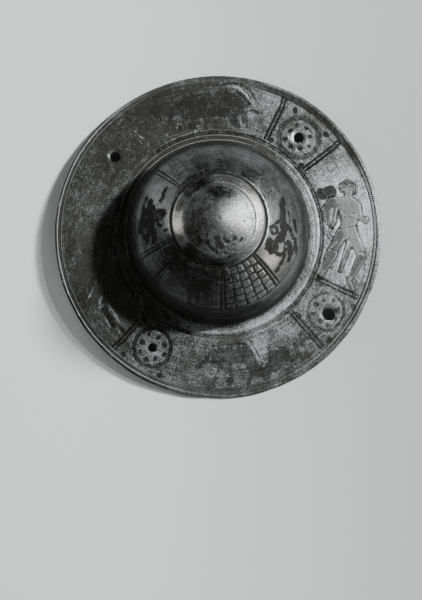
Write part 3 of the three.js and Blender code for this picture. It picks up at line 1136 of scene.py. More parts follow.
    def soil_and_shade(self) -> Array:
        """Dirt and painted shade: soil and painted shade in the dome's cove and lower wall, painted shade on
        the side away from the key lamp, a darker outer margin on the left, the figures' soiled shading and
        painted shade on the cap's left.

        Returns:
            Shares from 0 to 1.
        """
        wear = self.wear
        # Soil and painted shade in the cove and lower wall of the dome.
        wall = np.maximum(wear.wall.share(self.reach), wear.skirt_soil_and_shade * wear.skirt.share(self.reach))
        # Painted shade on the side away from the key lamp; the grime there is deepened too.
        away = -np.cos(turn_gap(self.angle, wear.key_lit_facing))
        west = wear.west_soil_and_shade * ramp(away, *wear.west_edge)
        grime = Noise.GRIME.over(self.x, self.y) * (wear.grime_base + west)
        # A darker outer margin of the rim on the left side.
        margin = ramp(self.reach, *wear.margin_edge) * self.toward(wear.margin_side)
        shading = wear.shade_soil * (1.0 - ramp(self.shade, *wear.shade_edge))
        # Painted shade on the cap's left, away from the key lamp.
        cap = wear.cap_painted_shade * wear.cap_slope.share(self.reach) * self.toward(wear.cap_shaded_side)
        cap = np.where(self.dome & (self.reach < self.form.crown_inner), cap, 0.0)
        soft = np.maximum(np.maximum(margin, shading), cap)
        return np.clip(np.maximum(wear.cove_soil_and_shade * wall + west + grime, soft), 0.0, 1.0)

    def values(self, far: Array) -> dict[str, Array]:
        """Everything the face's material reads.

        Args:
            far: straight radius in mm.

        Returns:
            Arrays by name.
        """
        return {
            "groove_mm": self.groove, "bare_mm": self.bare, "dark_mm": self.dark, "hold": self.hold,
            "tin_and_painted_light": self.tin_and_painted_light(), "soil_and_shade": self.soil_and_shade(), "reach_mm": far, **self.border(),
        }

    def relief(self) -> Array:
        """Height of the worn surface over the clean profile, in mm.

        Lines and inlays sink by a smooth step of their distance; the border and foot bands are sunk
        strips; soft noise gives dents; the crown rises to its blunt point; pits are bell-shaped
        hollows; the holes' lips are dished by a bell curve of the distance from their edge.

        Returns:
            Heights along the outward normal.
        """
        form, wear = self.form, self.wear
        height = -wear.groove_depth * (1.0 - ramp(self.groove, *wear.groove_edge)) * self.hold
        height -= wear.inlay_depth * (1.0 - ramp(self.dark, *wear.inlay_edge)) * self.hold
        flat = -form.rope_depth * form.rope_bed.share(self.reach)
        flat -= form.foot_depth * form.foot_bed.share(self.reach)
        flat += Noise.FLANGE_GRAIN.over(self.x, self.y)
        for rivet in form.rivets:
            mid = rivet.centre()
            dx, dy = self.x - mid[0], self.y - mid[1]
            edge = rivet.edge(np.arctan2(dy, dx))
            flat += rivet.lip * np.exp(-(((np.hypot(dx, dy) - edge) / wear.lip_width) ** 2))
        round_top = Noise.DOME_GRAIN.over(self.x, self.y) + form.cap(self.reach)
        round_top -= wear.dent_depth * (1.0 - ramp(self.shade, *wear.dent_edge))
        height += np.where(self.dome, round_top, flat)
        return height + Noise.DENTS.over(self.x, self.y) - self.spots(PITS)


class Desk:
    """A node tree with short calls that place nodes and join them."""

    def __init__(self, tree: bpy.types.NodeTree) -> None:
        """Keeps the tree to work in."""
        self.tree = tree

    def node(self, kind: str, given: dict | None = None, **settings: object) -> bpy.types.Node:
        """Places a node.

        Args:
            kind: the node's type.
            given: plain values or sockets for its inputs, by name or number.
            settings: the node's own settings.

        Returns:
            The node.
        """
        made = self.tree.nodes.new(kind)
        for name, value in settings.items():
            setattr(made, name, value)
        for place, value in (given or {}).items():
            self.join(value, made.inputs[place])
        return made

    def join(self, source: object, target: Socket) -> None:
        """Links a socket to another, or sets the other's own value.

        Args:
            source: a socket or a plain value.
            target: the socket that takes it.
        """
        if isinstance(source, bpy.types.NodeSocket):
            self.tree.links.new(source, target)
        else:
            target.default_value = source

    def math(self, operation: str, *values: object) -> Socket:
        """One sum of up to three values."""
        return self.node("ShaderNodeMath", dict(enumerate(values)), operation=operation).outputs[0]

    def times(self, *values: object) -> Socket:
        """Product of several values."""
        return reduce(partial(self.math, "MULTIPLY"), values)

    def plus(self, *values: object) -> Socket:
        """Sum of several values."""
        return reduce(partial(self.math, "ADD"), values)

    def most(self, *values: object) -> Socket:
        """Greatest of several values."""
        return reduce(partial(self.math, "MAXIMUM"), values)

    def less(self, first: object, second: object) -> Socket:
        """The first value less the second."""
        return self.math("SUBTRACT", first, second)

    def gap(self, first: object, second: object) -> Socket:
        """How far two values are apart."""
        return self.math("ABSOLUTE", self.less(first, second))

    def fall(self, value: object, low: float, high: float) -> Socket:
        """Smooth step from 1 at the low limit to 0 at the high one."""
        return self.span(value, low, high, 1.0, 0.0)

    def axes(self, place: object) -> object:
        """The three parts of a position."""
        return self.node("ShaderNodeSeparateXYZ", {0: place}).outputs

    def angle(self, place: object) -> Socket:
        """Angle of a position about the upright axis."""
        parts = self.axes(place)
        return self.math("ARCTAN2", parts["Y"], parts["X"])

    def span(
        self, value: object, low: float, high: float, start: float = 0.0, stop: float = 1.0,
    ) -> Socket:
        """Smooth step of a value between two limits, put onto another range."""
        given = dict(enumerate((value, low, high, start, stop)))
        return self.node("ShaderNodeMapRange", given, interpolation_type="SMOOTHSTEP").outputs[0]

    def shade(self, factor: object, first: object, second: object) -> Socket:
        """Blend of two colours."""
        return self.node("ShaderNodeMix", {0: factor, 6: first, 7: second}, data_type="RGBA").outputs[2]

    def blend(self, factor: object, first: object, second: object) -> Socket:
        """Blend of two numbers."""
        return self.node("ShaderNodeMix", {0: factor, 2: first, 3: second}, data_type="FLOAT").outputs[0]

    def noise(
        self, place: object, scale: object, detail: float = 3.0, rough: float = 0.55,
    ) -> Socket:
        """Fractal noise, 0 to 1."""
        given = {"Vector": place, "Scale": scale, "Detail": detail, "Roughness": rough}
        return self.node("ShaderNodeTexNoise", given).outputs["Fac"]

    def attribute(self, name: str) -> Socket:
        """A number stored on the piece's own surface."""
        return self.node("ShaderNodeAttribute", attribute_name=name).outputs["Fac"]

    def turned(self, place: object, degrees: float, stretch: Triple) -> Socket:
        """A position turned about the upright axis and stretched."""
        given = {"Vector": place, "Rotation": (0.0, 0.0, np.radians(degrees)), "Scale": stretch}
        return self.node("ShaderNodeMapping", given).outputs["Vector"]


class Kind(Enum):
    """Kinds of socket on a node group."""

    VALUE = "NodeSocketFloat"
    PLACE = "NodeSocketVector"


def group_of(name: str, takes: dict[str, Kind], gives: tuple[str, ...]) -> tuple[Desk, dict, dict]:
    """Starts a shader node group.

    Args:
        name: the group's name.
        takes: input names and kinds.
        gives: output names, all plain values.

    Returns:
        The desk to work on, the input sockets by name and the output sockets by name.
    """
    tree = bpy.data.node_groups.new(name, "ShaderNodeTree")
    for socket, kind in takes.items():
        tree.interface.new_socket(socket, in_out="INPUT", socket_type=kind.value)
    for socket in gives:
        tree.interface.new_socket(socket, in_out="OUTPUT", socket_type=Kind.VALUE.value)
    desk = Desk(tree)
    inward, outward = desk.node("NodeGroupInput"), desk.node("NodeGroupOutput")
    return desk, {s.name: s for s in inward.outputs if s.name}, {s.name: s for s in outward.inputs if s.name}


@dataclass(frozen=True)
class Finish:
    """A finish: its colour, roughness and how metallic it is."""

    colour: Triple
    rough: float
    metal: float

    def rgba(self, dim: float = 1.0) -> tuple[float, float, float, float]:
        """The colour, dimmed or not, with full alpha."""
        return (*(part * dim for part in self.colour), 1.0)


TIN = Finish((0.446, 0.484, 0.490), 0.50, 0.84)
POLISH = Finish((0.107, 0.1045, 0.0985), 0.32, 1.0)
TARNISH = Finish((0.022, 0.0215, 0.0202), 0.36, 1.0)
PATINA = Finish((0.0535, 0.0545, 0.0495), 0.48, 0.96)
BARE = Finish((0.106, 0.110, 0.105), 0.46, 0.85)
INLAY = Finish((0.008, 0.0078, 0.0072), 0.6, 0.5)
# Dark dirt, also laid as painted shade through the soil mask.
DIRT_AND_SHADE = Finish((0.0045, 0.0042, 0.0034), 0.8, 0.1)
SCRATCH = Finish((0.445, 0.462, 0.462), 0.38, 0.9)
BACK = Finish((0.115, 0.108, 0.098), 0.58, 0.6)
BACK_WORN = Finish((0.24, 0.23, 0.21), 0.5, 0.75)
CARD = Finish((0.608, 0.630, 0.634), 0.9, 0.0)
SPECULAR = 0.06


class Effects:
    """Surface effects that the face and the back share, each one node group. Scales are per metre."""

    coat_noises: tuple[Triple, ...] = ((95.0, 4.0, 0.6), (520.0, 4.0, 0.65), (1900.0, 2.0, 0.6))
    coat_shares: Triple = (0.16, 0.25, 0.59)
    coat_edge: Point = (0.12, 0.88)
    grain_shares: Point = (0.6, 0.4)
    scratch_turns: tuple[Point, ...] = ((-9.0, 0.0), (38.0, 0.02), (74.0, 0.01))
    scratch_pull: Triple = (1.0, 0.045, 1.0)
    scratch_width: float = 0.012
    scratch_place: tuple[float, Point] = (160.0, (0.5, 0.66))
    scratch_place_turn: float = 50.0
    pit_heart: Point = (0.10, 0.34)
    pit_place: tuple[float, Point] = (210.0, (0.44, 0.62))

    def __init__(self) -> None:
        """Makes the groups once."""
        self.wear = self.make_wear()
        self.scratches = self.make_scratches()
        self.pitting = self.make_pitting()

    def make_wear(self) -> bpy.types.NodeTree:
        """Ragged survival of a coat: an amount, roughened by noise of three sizes, cut by a smooth step.

        Returns:
            The group's tree.
        """
        takes = {"Place": Kind.PLACE, "Amount": Kind.VALUE, "Spread": Kind.VALUE}
        desk, got, out = group_of("coat_wear", takes, ("Mask", "Grain"))
        sizes = [desk.noise(got["Place"], *noise) for noise in self.coat_noises]
        mixed = desk.plus(*(desk.times(size, share) for size, share in zip(sizes, self.coat_shares)))
        swing = desk.times(desk.less(mixed, 0.5), got["Spread"])
        desk.join(desk.span(desk.plus(got["Amount"], swing), *self.coat_edge), out["Mask"])
        finest = zip(reversed(sizes), self.grain_shares)
        desk.join(desk.plus(*(desk.times(size, share) for size, share in finest)), out["Grain"])
        return desk.tree

    def make_scratches(self) -> bpy.types.NodeTree:
        """Fine scratches: noise drawn out along three directions, thin crests of it kept.

        Returns:
            The group's tree.
        """
        takes = {"Place": Kind.PLACE, "Scale": Kind.VALUE, "Amount": Kind.VALUE}
        desk, got, out = group_of("fine_scratches", takes, ("Mask",))
        scale, edge = self.scratch_place
        total: object = 0.0
        for turn, lift in self.scratch_turns:
            drawn = desk.turned(got["Place"], turn, self.scratch_pull)
            crest = desk.noise(drawn, got["Scale"], 1.5, 0.5)
            thin = desk.fall(desk.gap(crest, 0.5 + lift), 0.0, self.scratch_width)
            spot = desk.turned(got["Place"], turn + self.scratch_place_turn, (1.0, 1.0, 1.0))
            where = desk.span(desk.noise(spot, scale), *edge)
            total = desk.most(total, desk.times(thin, where))
        desk.join(desk.times(total, got["Amount"]), out["Mask"])
        return desk.tree

    def make_pitting(self) -> bpy.types.NodeTree:
        """Small corrosion pits: hearts of a cell pattern, kept only where a broader noise is high.

        Returns:
            The group's tree.
        """
        takes = {"Place": Kind.PLACE, "Scale": Kind.VALUE, "Amount": Kind.VALUE}
        desk, got, out = group_of("corrosion_pits", takes, ("Mask",))
        cells = desk.node("ShaderNodeTexVoronoi", {"Vector": got["Place"], "Scale": got["Scale"]})
        heart = desk.fall(cells.outputs["Distance"], *self.pit_heart)
        scale, edge = self.pit_place
        where = desk.span(desk.noise(got["Place"], scale), *edge)
        desk.join(desk.times(heart, where, got["Amount"]), out["Mask"])
        return desk.tree


@dataclass
class Coating:
    """Materials of the boss: the tinned, engraved face and the plain back. Radii and widths in mm."""

    effects: Effects = field(default_factory=Effects)
    rope_strokes: float = 488.0
    rope_slant: float = 2.6
    rope_edges: Point = (95.4, 97.9)
    rope_fill: Point = (1.2, 1.6)
    strand: Point = (0.32, 0.62)
    strand_wave: Point = (-0.1, 0.5)
    line_wave: tuple[float, ...] = (-0.6, 0.4, 0.5, 1.0)
    line_edge: Point = (0.12, 0.42)
    solid_rise: Point = (93.7, 94.3)
    solid_fall: Point = (97.3, 97.9)
    foot_edges: Point = (58.7, 61.8)
    bead_count: float = 304.0
    bead_reach: float = 58.0
    bead_edge: Point = (0.35, 0.7)
    bead_wave: Point = (-0.2, 0.4)
    streak_reach: float = 0.9
    streak_round: float = 3.2
    streak_gain: float = 0.46
    dome_edge: Point = (55.2, 56.6)
    flange_spread: tuple[float, ...] = (0.05, 0.5, 2.3, 2.6)
    dome_spread: float = 1.3
    ragged_edge: float = 1.1
    bare_share: float = 0.85
    inlay_share: float = 0.92
    line_share: Point = (0.1, 0.92)
    lip_rise: Point = (0.15, 0.45)
    lip_fall: Point = (0.5, 0.9)
    lip_grain: Point = (0.4, 0.6)
    soil_grain: tuple[float, ...] = (0.25, 0.6, 1.0, 0.75)
    stain_noise: Triple = (300.0, 5.0, 0.7)
    stain_edge: Point = (0.52, 0.72)
    stain_share: float = 0.4
    lip_share: float = 0.5
    rope_share: float = 0.86
    bright_share: float = 0.7
    scratch_share: float = 0.7
    pit_share: float = 0.8
    face_marks: tuple[Point, Point] = ((420.0, 640.0), (0.28, 0.85))
    face_rough: float = 0.10
    face_heights: Point = (0.5, 0.25)
    face_depths: Triple = (0.9, 0.25, 0.5)
    face_bump: float = 0.00022
    back_rub: tuple[float, ...] = (0.4, 0.7, 0.1, 0.6)
    back_rub_scale: float = 70.0
    back_spread: float = 0.9
    back_marks: tuple[Point, Point] = ((300.0, 380.0), (0.5, 1.0))
    back_scratch: float = 0.6
    hammer_scale: float = 150.0
    back_heights: Point = (0.3, 1.6)
    back_depth: float = 0.7
    back_bump: float = 0.0004

    @staticmethod
    def begin(name: str) -> tuple[bpy.types.Material, Desk, object]:
        """Starts a material.

        Args:
            name: the material's name.

        Returns:
            The material with an empty tree, its desk and its Object position.
        """
        made = bpy.data.materials.new(name)
        made.use_nodes = True
        made.node_tree.nodes.clear()
        desk = Desk(made.node_tree)
        return made, desk, desk.node("ShaderNodeTexCoord").outputs["Object"]

    @staticmethod
    def placed(desk: Desk, tree: bpy.types.NodeTree, **values: object) -> dict[str, object]:
        """Places a shared effect with its own values and returns its outputs by name."""
        made = desk.node("ShaderNodeGroup", values, node_tree=tree)
        return {socket.name: socket for socket in made.outputs}

    @staticmethod
    def layered(
        desk: Desk, base: Finish, layers: list[tuple[object, Finish]],
    ) -> tuple[object, object, object]:
        """Lays finishes over each other by their masks.

        Args:
            desk: the material's desk.
            base: the finish underneath.
            layers: masks and finishes, lowest first.

        Returns:
            Sockets for colour, roughness and metallic.
        """
        colour: object = base.rgba()
        rough: object = base.rough
        metal: object = base.metal
        for mask, finish in layers:
            colour = desk.shade(mask, colour, finish.rgba())
            rough = desk.blend(mask, rough, finish.rough)
            metal = desk.blend(mask, metal, finish.metal)
        return colour, rough, metal

    @staticmethod
    def finish(
        desk: Desk, colour: object, rough: object, metal: object, height: object, depth: float,
    ) -> None:
        """Ends a material with a bump and its one shader.

        Args:
            desk: the material's desk.
            colour: base colour.
            rough: roughness.
            metal: how metallic it is.
            height: the bump's height, 0 to 1.
            depth: the bump's depth in metres.
        """
        bump = desk.node("ShaderNodeBump", {"Strength": 1.0, "Distance": depth, "Height": height})
        given = {
            "Base Color": colour, "Roughness": rough, "Metallic": metal,
            "Specular IOR Level": SPECULAR, "Normal": bump.outputs["Normal"],
        }
        shader = desk.node("ShaderNodeBsdfPrincipled", given)
        desk.node("ShaderNodeOutputMaterial", {"Surface": shader.outputs[0]})

    def edges(self, desk: Desk, reach: object, rings: Point, where: str) -> object:
        """Two thin lines right round, kept where a stored value says so."""
        lines = [desk.fall(desk.gap(reach, ring), *self.line_edge) for ring in rings]
        return desk.times(desk.most(0.0, *lines), desk.attribute(where))

    def border(self, desk: Desk, place: object, reach: object) -> tuple[object, object]:
        """The roped border and the row of punched beads.

        The rope is a wave of the angle round the boss, slanted by the reach and kept in a narrow ring
        between two edge lines; stored values say where it is filled, beaded or bright at its edges.
        The beads at the dome's foot are a wave of the angle in a narrow ring.

        Args:
            desk: the material's desk.
            place: Object position.
            reach: straight radius in mm.

        Returns:
            Mask of dark marks and mask of bright marks.
        """
        angle = desk.angle(place)
        aside = desk.less(reach, sum(self.rope_edges) / 2)
        slant = desk.times(aside, self.rope_slant)
        wave = desk.math("SINE", desk.plus(desk.times(angle, self.rope_strokes), slant))
        off = desk.math("ABSOLUTE", aside)
        strand = desk.times(desk.span(wave, *self.strand_wave), desk.fall(off, *self.strand))
        strand = desk.times(strand, desk.attribute("beaded"))
        lines = desk.times(
            self.edges(desk, reach, self.rope_edges, "lined"), desk.span(wave, *self.line_wave),
        )
        rope = desk.times(desk.fall(off, *self.rope_fill), desk.less(1.0, strand))
        rope = desk.times(rope, desk.attribute("roped"), desk.less(1.0, lines))
        solid = desk.times(
            desk.span(reach, *self.solid_rise), desk.fall(reach, *self.solid_fall), desk.attribute("solid"),
        )
        bead = desk.math("SINE", desk.times(angle, self.bead_count))
        ring = desk.fall(desk.gap(reach, self.bead_reach), *self.bead_edge)
        beads = desk.times(desk.span(bead, *self.bead_wave), ring)
        bright = desk.most(lines, strand, self.edges(desk, reach, self.foot_edges, "foot_lined"))
        return desk.most(rope, solid, beads), bright

    def turning(self, desk: Desk, place: object, reach: object) -> object:
        """Faint turning marks: noise that is quick with the reach and slow with the angle.

        Args:
            desk: the material's desk.
            place: Object position.
            reach: straight radius in mm.

        Returns:
            Values about nought.
        """
        angle = desk.angle(place)
        around = (desk.times(desk.math(wave, angle), self.streak_round) for wave in ("COSINE", "SINE"))
        parts = (desk.times(reach, self.streak_reach), *around)
        polar = desk.node("ShaderNodeCombineXYZ", dict(enumerate(parts)))
        return desk.less(desk.noise(polar.outputs[0], 1.0, 3.0, 0.6), 0.5)

    def marks(self, desk: Desk, place: object, scale: Point, amount: Point) -> tuple[object, object]:
        """Scratches and pits.

        Args:
            desk: the material's desk.
            place: Object position.
            scale: the scale of each, per metre.
            amount: how strong each is.

        Returns:
            The two masks.
        """
        effects = (self.effects.scratches, self.effects.pitting)
        scratch, pits = (
            self.placed(desk, tree, Place=place, Scale=size, Amount=share)["Mask"]
            for tree, size, share in zip(effects, scale, amount)
        )
        return scratch, pits

    def face(self) -> bpy.types.Material:
        """Worn tin over dark patina, with bare figures, dark inlay, dirt in lines, scratches and pits, and
        the painted light and shade that its tin and soil masks carry.

        Returns:
            The material.
        """
        made, desk, place = self.begin("tinned_face_with_painted_light")
        read = desk.attribute
        reach, hold, tin_and_painted_light, line = read("reach_mm"), read("hold"), read("tin_and_painted_light"), read("groove_mm")
        amount = desk.plus(tin_and_painted_light, desk.times(self.turning(desk, place, reach), self.streak_gain))
        on_dome = desk.fall(reach, *self.dome_edge)
        spread = desk.blend(on_dome, desk.span(tin_and_painted_light, *self.flange_spread), self.dome_spread)
        wear = self.placed(desk, self.effects.wear, Place=place, Amount=amount, Spread=spread)
        coat, grain = wear["Mask"], wear["Grain"]
        scratch, pits = self.marks(desk, place, *self.face_marks)
        ragged = desk.times(desk.less(grain, 0.5), self.ragged_edge)

        def inside(distance: object, soft: float) -> object:
            """Mask of a stored distance, 1 inside, with a ragged soft edge."""
            return desk.fall(desk.plus(distance, ragged), -soft, soft)

        bare = desk.times(inside(read("bare_mm"), 0.3), hold, self.bare_share)
        dark = desk.times(inside(read("dark_mm"), 0.35), hold, self.inlay_share)
        groove = desk.times(inside(line, 0.3), desk.span(hold, 0.0, 1.0, *self.line_share))
        lip = desk.times(
            desk.span(line, *self.lip_rise), desk.fall(line, *self.lip_fall),
            desk.span(grain, *self.lip_grain), coat,
        )
        soil_and_shade = desk.times(read("soil_and_shade"), desk.span(grain, *self.soil_grain))
        rope_dark, rope_bright = self.border(desk, place, reach)
        stain = desk.span(desk.noise(place, *self.stain_noise), *self.stain_edge)
        # The tin mask carries painted highlights and a painted shadow, and the soil layer painted shade.
        layers = [
            (on_dome, TARNISH), (coat, TIN), (desk.times(coat, on_dome), POLISH),
            (desk.times(stain, self.stain_share), TARNISH), (bare, BARE), (dark, INLAY), (soil_and_shade, DIRT_AND_SHADE),
            (desk.times(lip, self.lip_share), SCRATCH), (desk.times(rope_dark, self.rope_share), DIRT_AND_SHADE),
            (desk.times(rope_bright, self.bright_share), SCRATCH), (groove, DIRT_AND_SHADE),
            (desk.times(scratch, self.scratch_share), SCRATCH), (desk.times(pits, self.pit_share), DIRT_AND_SHADE),
        ]
        colour, rough, metal = self.layered(desk, PATINA, layers)
        rough = desk.plus(rough, desk.times(ragged, self.face_rough))
        raised = zip((grain, coat), self.face_heights)
        height = desk.plus(*(desk.times(mask, share) for mask, share in raised))
        for mask, depth in zip((pits, scratch, rope_dark), self.face_depths):
            height = desk.less(height, desk.times(mask, depth))
        self.finish(desk, colour, rough, metal, height, self.face_bump)
        return made

    def back(self) -> bpy.types.Material:
        """Plain hammered back: dark patina rubbed bare in places, scratched and pitted.

        Returns:
            The material.
        """
        made, desk, place = self.begin("plain_hammered_back")
        rub = desk.span(desk.noise(place, self.back_rub_scale), *self.back_rub)
        wear = self.placed(desk, self.effects.wear, Place=place, Amount=rub, Spread=self.back_spread)
        scratch, pits = self.marks(desk, place, *self.back_marks)
        given = {"Vector": place, "Scale": self.hammer_scale}
        hammer = desk.node("ShaderNodeTexVoronoi", given, feature="SMOOTH_F1")
        layers = [
            (wear["Mask"], BACK_WORN), (desk.times(scratch, self.back_scratch), SCRATCH),
            (desk.times(pits, self.pit_share), DIRT_AND_SHADE),
        ]
        colour, rough, metal = self.layered(desk, BACK, layers)
        raised = zip((wear["Grain"], hammer.outputs["Distance"]), self.back_heights)
        height = desk.plus(*(desk.times(mask, share) for mask, share in raised))
        height = desk.less(height, desk.times(pits, self.back_depth))
        self.finish(desk, colour, rough, metal, height, self.back_bump)
        return made


@dataclass
class ShieldBoss:
    """The boss itself: one bent sheet with its drawing, holes and worn coat."""

    form: BossForm
    name: str = "shield_boss_sheet"
    face_disc: Triple = (0.37, 0.63, 0.355)
    back_disc: Triple = (0.80, 0.20, 0.19)
    wall_inset: float = 0.55
    sharp_angle: float = 42.0
    wobble_round: float = 60.0

    def build(self) -> bpy.types.Object:
        """Works the sheet out ring by ring and puts it into one mesh.

        Each vertex is a ring's radius and height carried to its angle; the face is moved along its
        normal by the drawing's relief, the back by soft hammer dents; then all is bent and lifted.

        Returns:
            The finished object at the origin.
        """
        form, runs = self.form, self.form.stations()
        reach, height, lean, rise = (
            np.concatenate([getattr(run, name) for run in runs])
            for name in ("reach", "height", "normal_reach", "normal_height")
        )
        count, on_face = (
            np.concatenate([np.full(run.reach.shape, getattr(run, name)) for run in runs])
            for name in ("count", "face")
        )
        tip = form.dome + form.dome_centre
        arc = np.cumsum(np.hypot(np.diff(reach, prepend=0.0), np.diff(height, prepend=tip)))
        owner = np.repeat(np.arange(count.size), count)
        first = np.concatenate([[0], np.cumsum(count)]) + 1
        angle = (np.arange(owner.size) + 1 - first[owner]) * (2.0 * np.pi / count[owner])

        def spread(ring: Array, start: float, stop: float) -> Array:
            """A value of each ring at all its vertices, with the two poles at the ends."""
            return np.concatenate([[start], ring[owner], [stop]])

        turn = np.concatenate([[0.0], angle, [0.0]])
        far = spread(reach, 0.0, 0.0)
        up = spread(height, tip, tip - form.sheet)
        out, lift = spread(lean, 0.0, 0.0), spread(rise, 1.0, -1.0)
        length = spread(arc, 0.0, arc[-1] + reach[-1])
        face = spread(on_face.astype(float), 1.0, 0.0) > 0.5
        cos, sin = np.cos(turn), np.sin(turn)
        x, y = far * cos, far * sin
        dome = face & (up > form.cove + 0.01)

        drawing = self.draw(x, y, length, dome, face)
        cap = form.cap(far) * (up > form.dome / 2)
        moved = np.where(face, drawing.relief(), Noise.HAMMERING.over(x, y) - cap)
        moved = moved * (1.0 - ramp(far, *form.rim_fade))
        wobble = Noise.RIM_WOBBLE.over(self.wobble_round * cos, self.wobble_round * sin) - form.wobble_inset
        far_moved = far + out * moved + wobble * ramp(far, *form.wobble_zone)
        x_moved, y_moved = far_moved * cos, far_moved * sin
        z_moved = up + lift * moved

        quads, tris = self.skin(first, count, owner.size)
        quads, walls, x_moved, y_moved = self.bore(quads, face, x_moved, y_moved)
        spots = form.settle(x_moved, y_moved, z_moved)
        corners = np.concatenate([quads.ravel(), tris.ravel(), walls.ravel()])
        used, index = np.unique(corners, return_inverse=True)
        parts = np.split(index, np.cumsum([quads.size, tris.size]))
        quads, tris, walls = (part.reshape(-1, n) for part, n in zip(parts, (4, 3, 3)))
        piece = self.mesh(spots[used], quads, tris, walls, face[used])
        values = {name: value[used] for name, value in drawing.values(far).items()}
        self.store(piece.data, values, length[used], turn[used], face[used], walls)
        return piece

    def draw(self, x: Array, y: Array, arc: Array, dome: Array, face: Array) -> Engraving:
        """The drawing over the whole sheet, with the back left plain.

        Args:
            x: plan positions in mm.
            y: plan positions in mm.
            arc: length along the profile in mm.
            dome: True for points on the dome.
            face: True for vertices of the face.

        Returns:
            The drawing.
        """
        drawing = Engraving(self.form, x, y, arc, dome)
        drawing.rings()
        drawing.rivet_panels()
        drawing.dome_panels()
        drawing.figures()
        for values in (drawing.groove, drawing.bare, drawing.dark):
            values[~face] = FAR_MM
        return drawing

    @staticmethod
    def skin(first: Array, count: Array, total: int) -> tuple[Array, Array]:
        """Faces between neighbouring rings.

        Rings with the same number of vertices are joined by quads; where the number doubles or halves,
        each long side takes three triangles; each pole takes a fan.

        Args:
            first: index of each ring's first vertex.
            count: vertices in each ring.
            total: vertices in all rings.

        Returns:
            Quads and triangles as index rows.
        """
        quads, tris = [], []
        for k in range(count.size - 1):
            a, b, n, m = first[k], first[k + 1], count[k], count[k + 1]
            if n == m:
                j = np.arange(n)
                jj = (j + 1) % n
                quads.append(np.stack([a + j, b + j, b + jj, a + jj], axis=1))
                continue
            j = np.arange(min(n, m))
            jj = (j + 1) % min(n, m)
            even, odd, last = 2 * j, 2 * j + 1, (2 * j + 2) % max(n, m)
            if n < m:
                rows = ((a + j, b + even, b + odd), (a + j, b + odd, a + jj), (a + jj, b + odd, b + last))
            else:
                rows = ((a + even, b + j, a + odd), (a + odd, b + j, b + jj), (a + odd, b + jj, a + last))
            tris.extend(np.stack(row, axis=1) for row in rows)
        j = np.arange(count[0])
        tris.append(np.stack([np.zeros_like(j), 1 + j, 1 + (j + 1) % count[0]], axis=1))
        j = np.arange(count[-1])
        ring = first[count.size - 1]
        tris.append(np.stack([ring + j, np.full_like(j, total + 1), ring + (j + 1) % count[-1]], axis=1))
        return np.concatenate(quads), np.concatenate(tris)

    def bore(self, quads: Array, face: Array, x: Array, y: Array) -> tuple[Array, Array, Array, Array]:
        """Opens the four rivet holes and gives each a wall through the sheet.

        Quads whose middle is inside a hole are taken out, the vertices left round it are moved onto the
        hole's edge, and the upper and lower rims are joined by triangles in order of angle.

        Args:
            quads: index rows of the quads.
            face: True for vertices of the face.
            x: plan positions in mm.
            y: plan positions in mm.

        Returns:
            Quads, wall triangles and the moved plan positions.
        """
        x, y = x.copy(), y.copy()
        walls = []
        for rivet in self.form.rivets:
            mid = rivet.centre()
            dx, dy = x - mid[0], y - mid[1]
            mx, my = dx[quads].mean(axis=1), dy[quads].mean(axis=1)
            gone = np.hypot(mx, my) < rivet.edge(np.arctan2(my, mx))
            rim = np.intersect1d(quads[gone], quads[~gone])
            turn = np.arctan2(dy[rim], dx[rim])
            edge = rivet.edge(turn)
            x[rim], y[rim] = mid[0] + edge * np.cos(turn), mid[1] + edge * np.sin(turn)
            quads = quads[~gone]
            order = np.argsort(turn)
            rim, turn = rim[order], turn[order]
            top = face[rim]
            upper, lower = rim[top], rim[~top]
            t_now, b_now = np.cumsum(top) - 1, np.cumsum(~top) - 1
            t_row = np.stack([upper[t_now - 1], upper[t_now], lower[b_now]], axis=1)[top]
            b_row = np.stack([upper[t_now], lower[b_now], lower[b_now - 1]], axis=1)[~top]
            walls.extend((t_row, b_row))
        return quads, np.concatenate(walls), x, y

    def mesh(
        self, spots: Array, quads: Array, tris: Array, walls: Array, face: Array,
    ) -> bpy.types.Object:
        """Puts the arrays into a mesh and sets the two materials' faces.

        Args:
            spots: vertex positions in metres.
            quads: index rows of the quads.
            tris: index rows of the triangles.
            walls: index rows of the hole walls.
            face: True for vertices of the face.

        Returns:
            The object, linked to the scene.
        """
        mesh = bpy.data.meshes.new(self.name)
        mesh.from_pydata(spots.tolist(), [], quads.tolist() + tris.tolist() + walls.tolist())
        back = np.concatenate([
            ~face[quads].all(axis=1), ~face[tris].all(axis=1), np.zeros(len(walls), dtype=bool),
        ])
        mesh.polygons.foreach_set("material_index", back.astype(np.int32))
        mesh.polygons.foreach_set("use_smooth", np.ones(len(mesh.polygons), dtype=bool))
        mesh.set_sharp_from_angle(angle=np.radians(self.sharp_angle))
        return show(self.name, mesh)

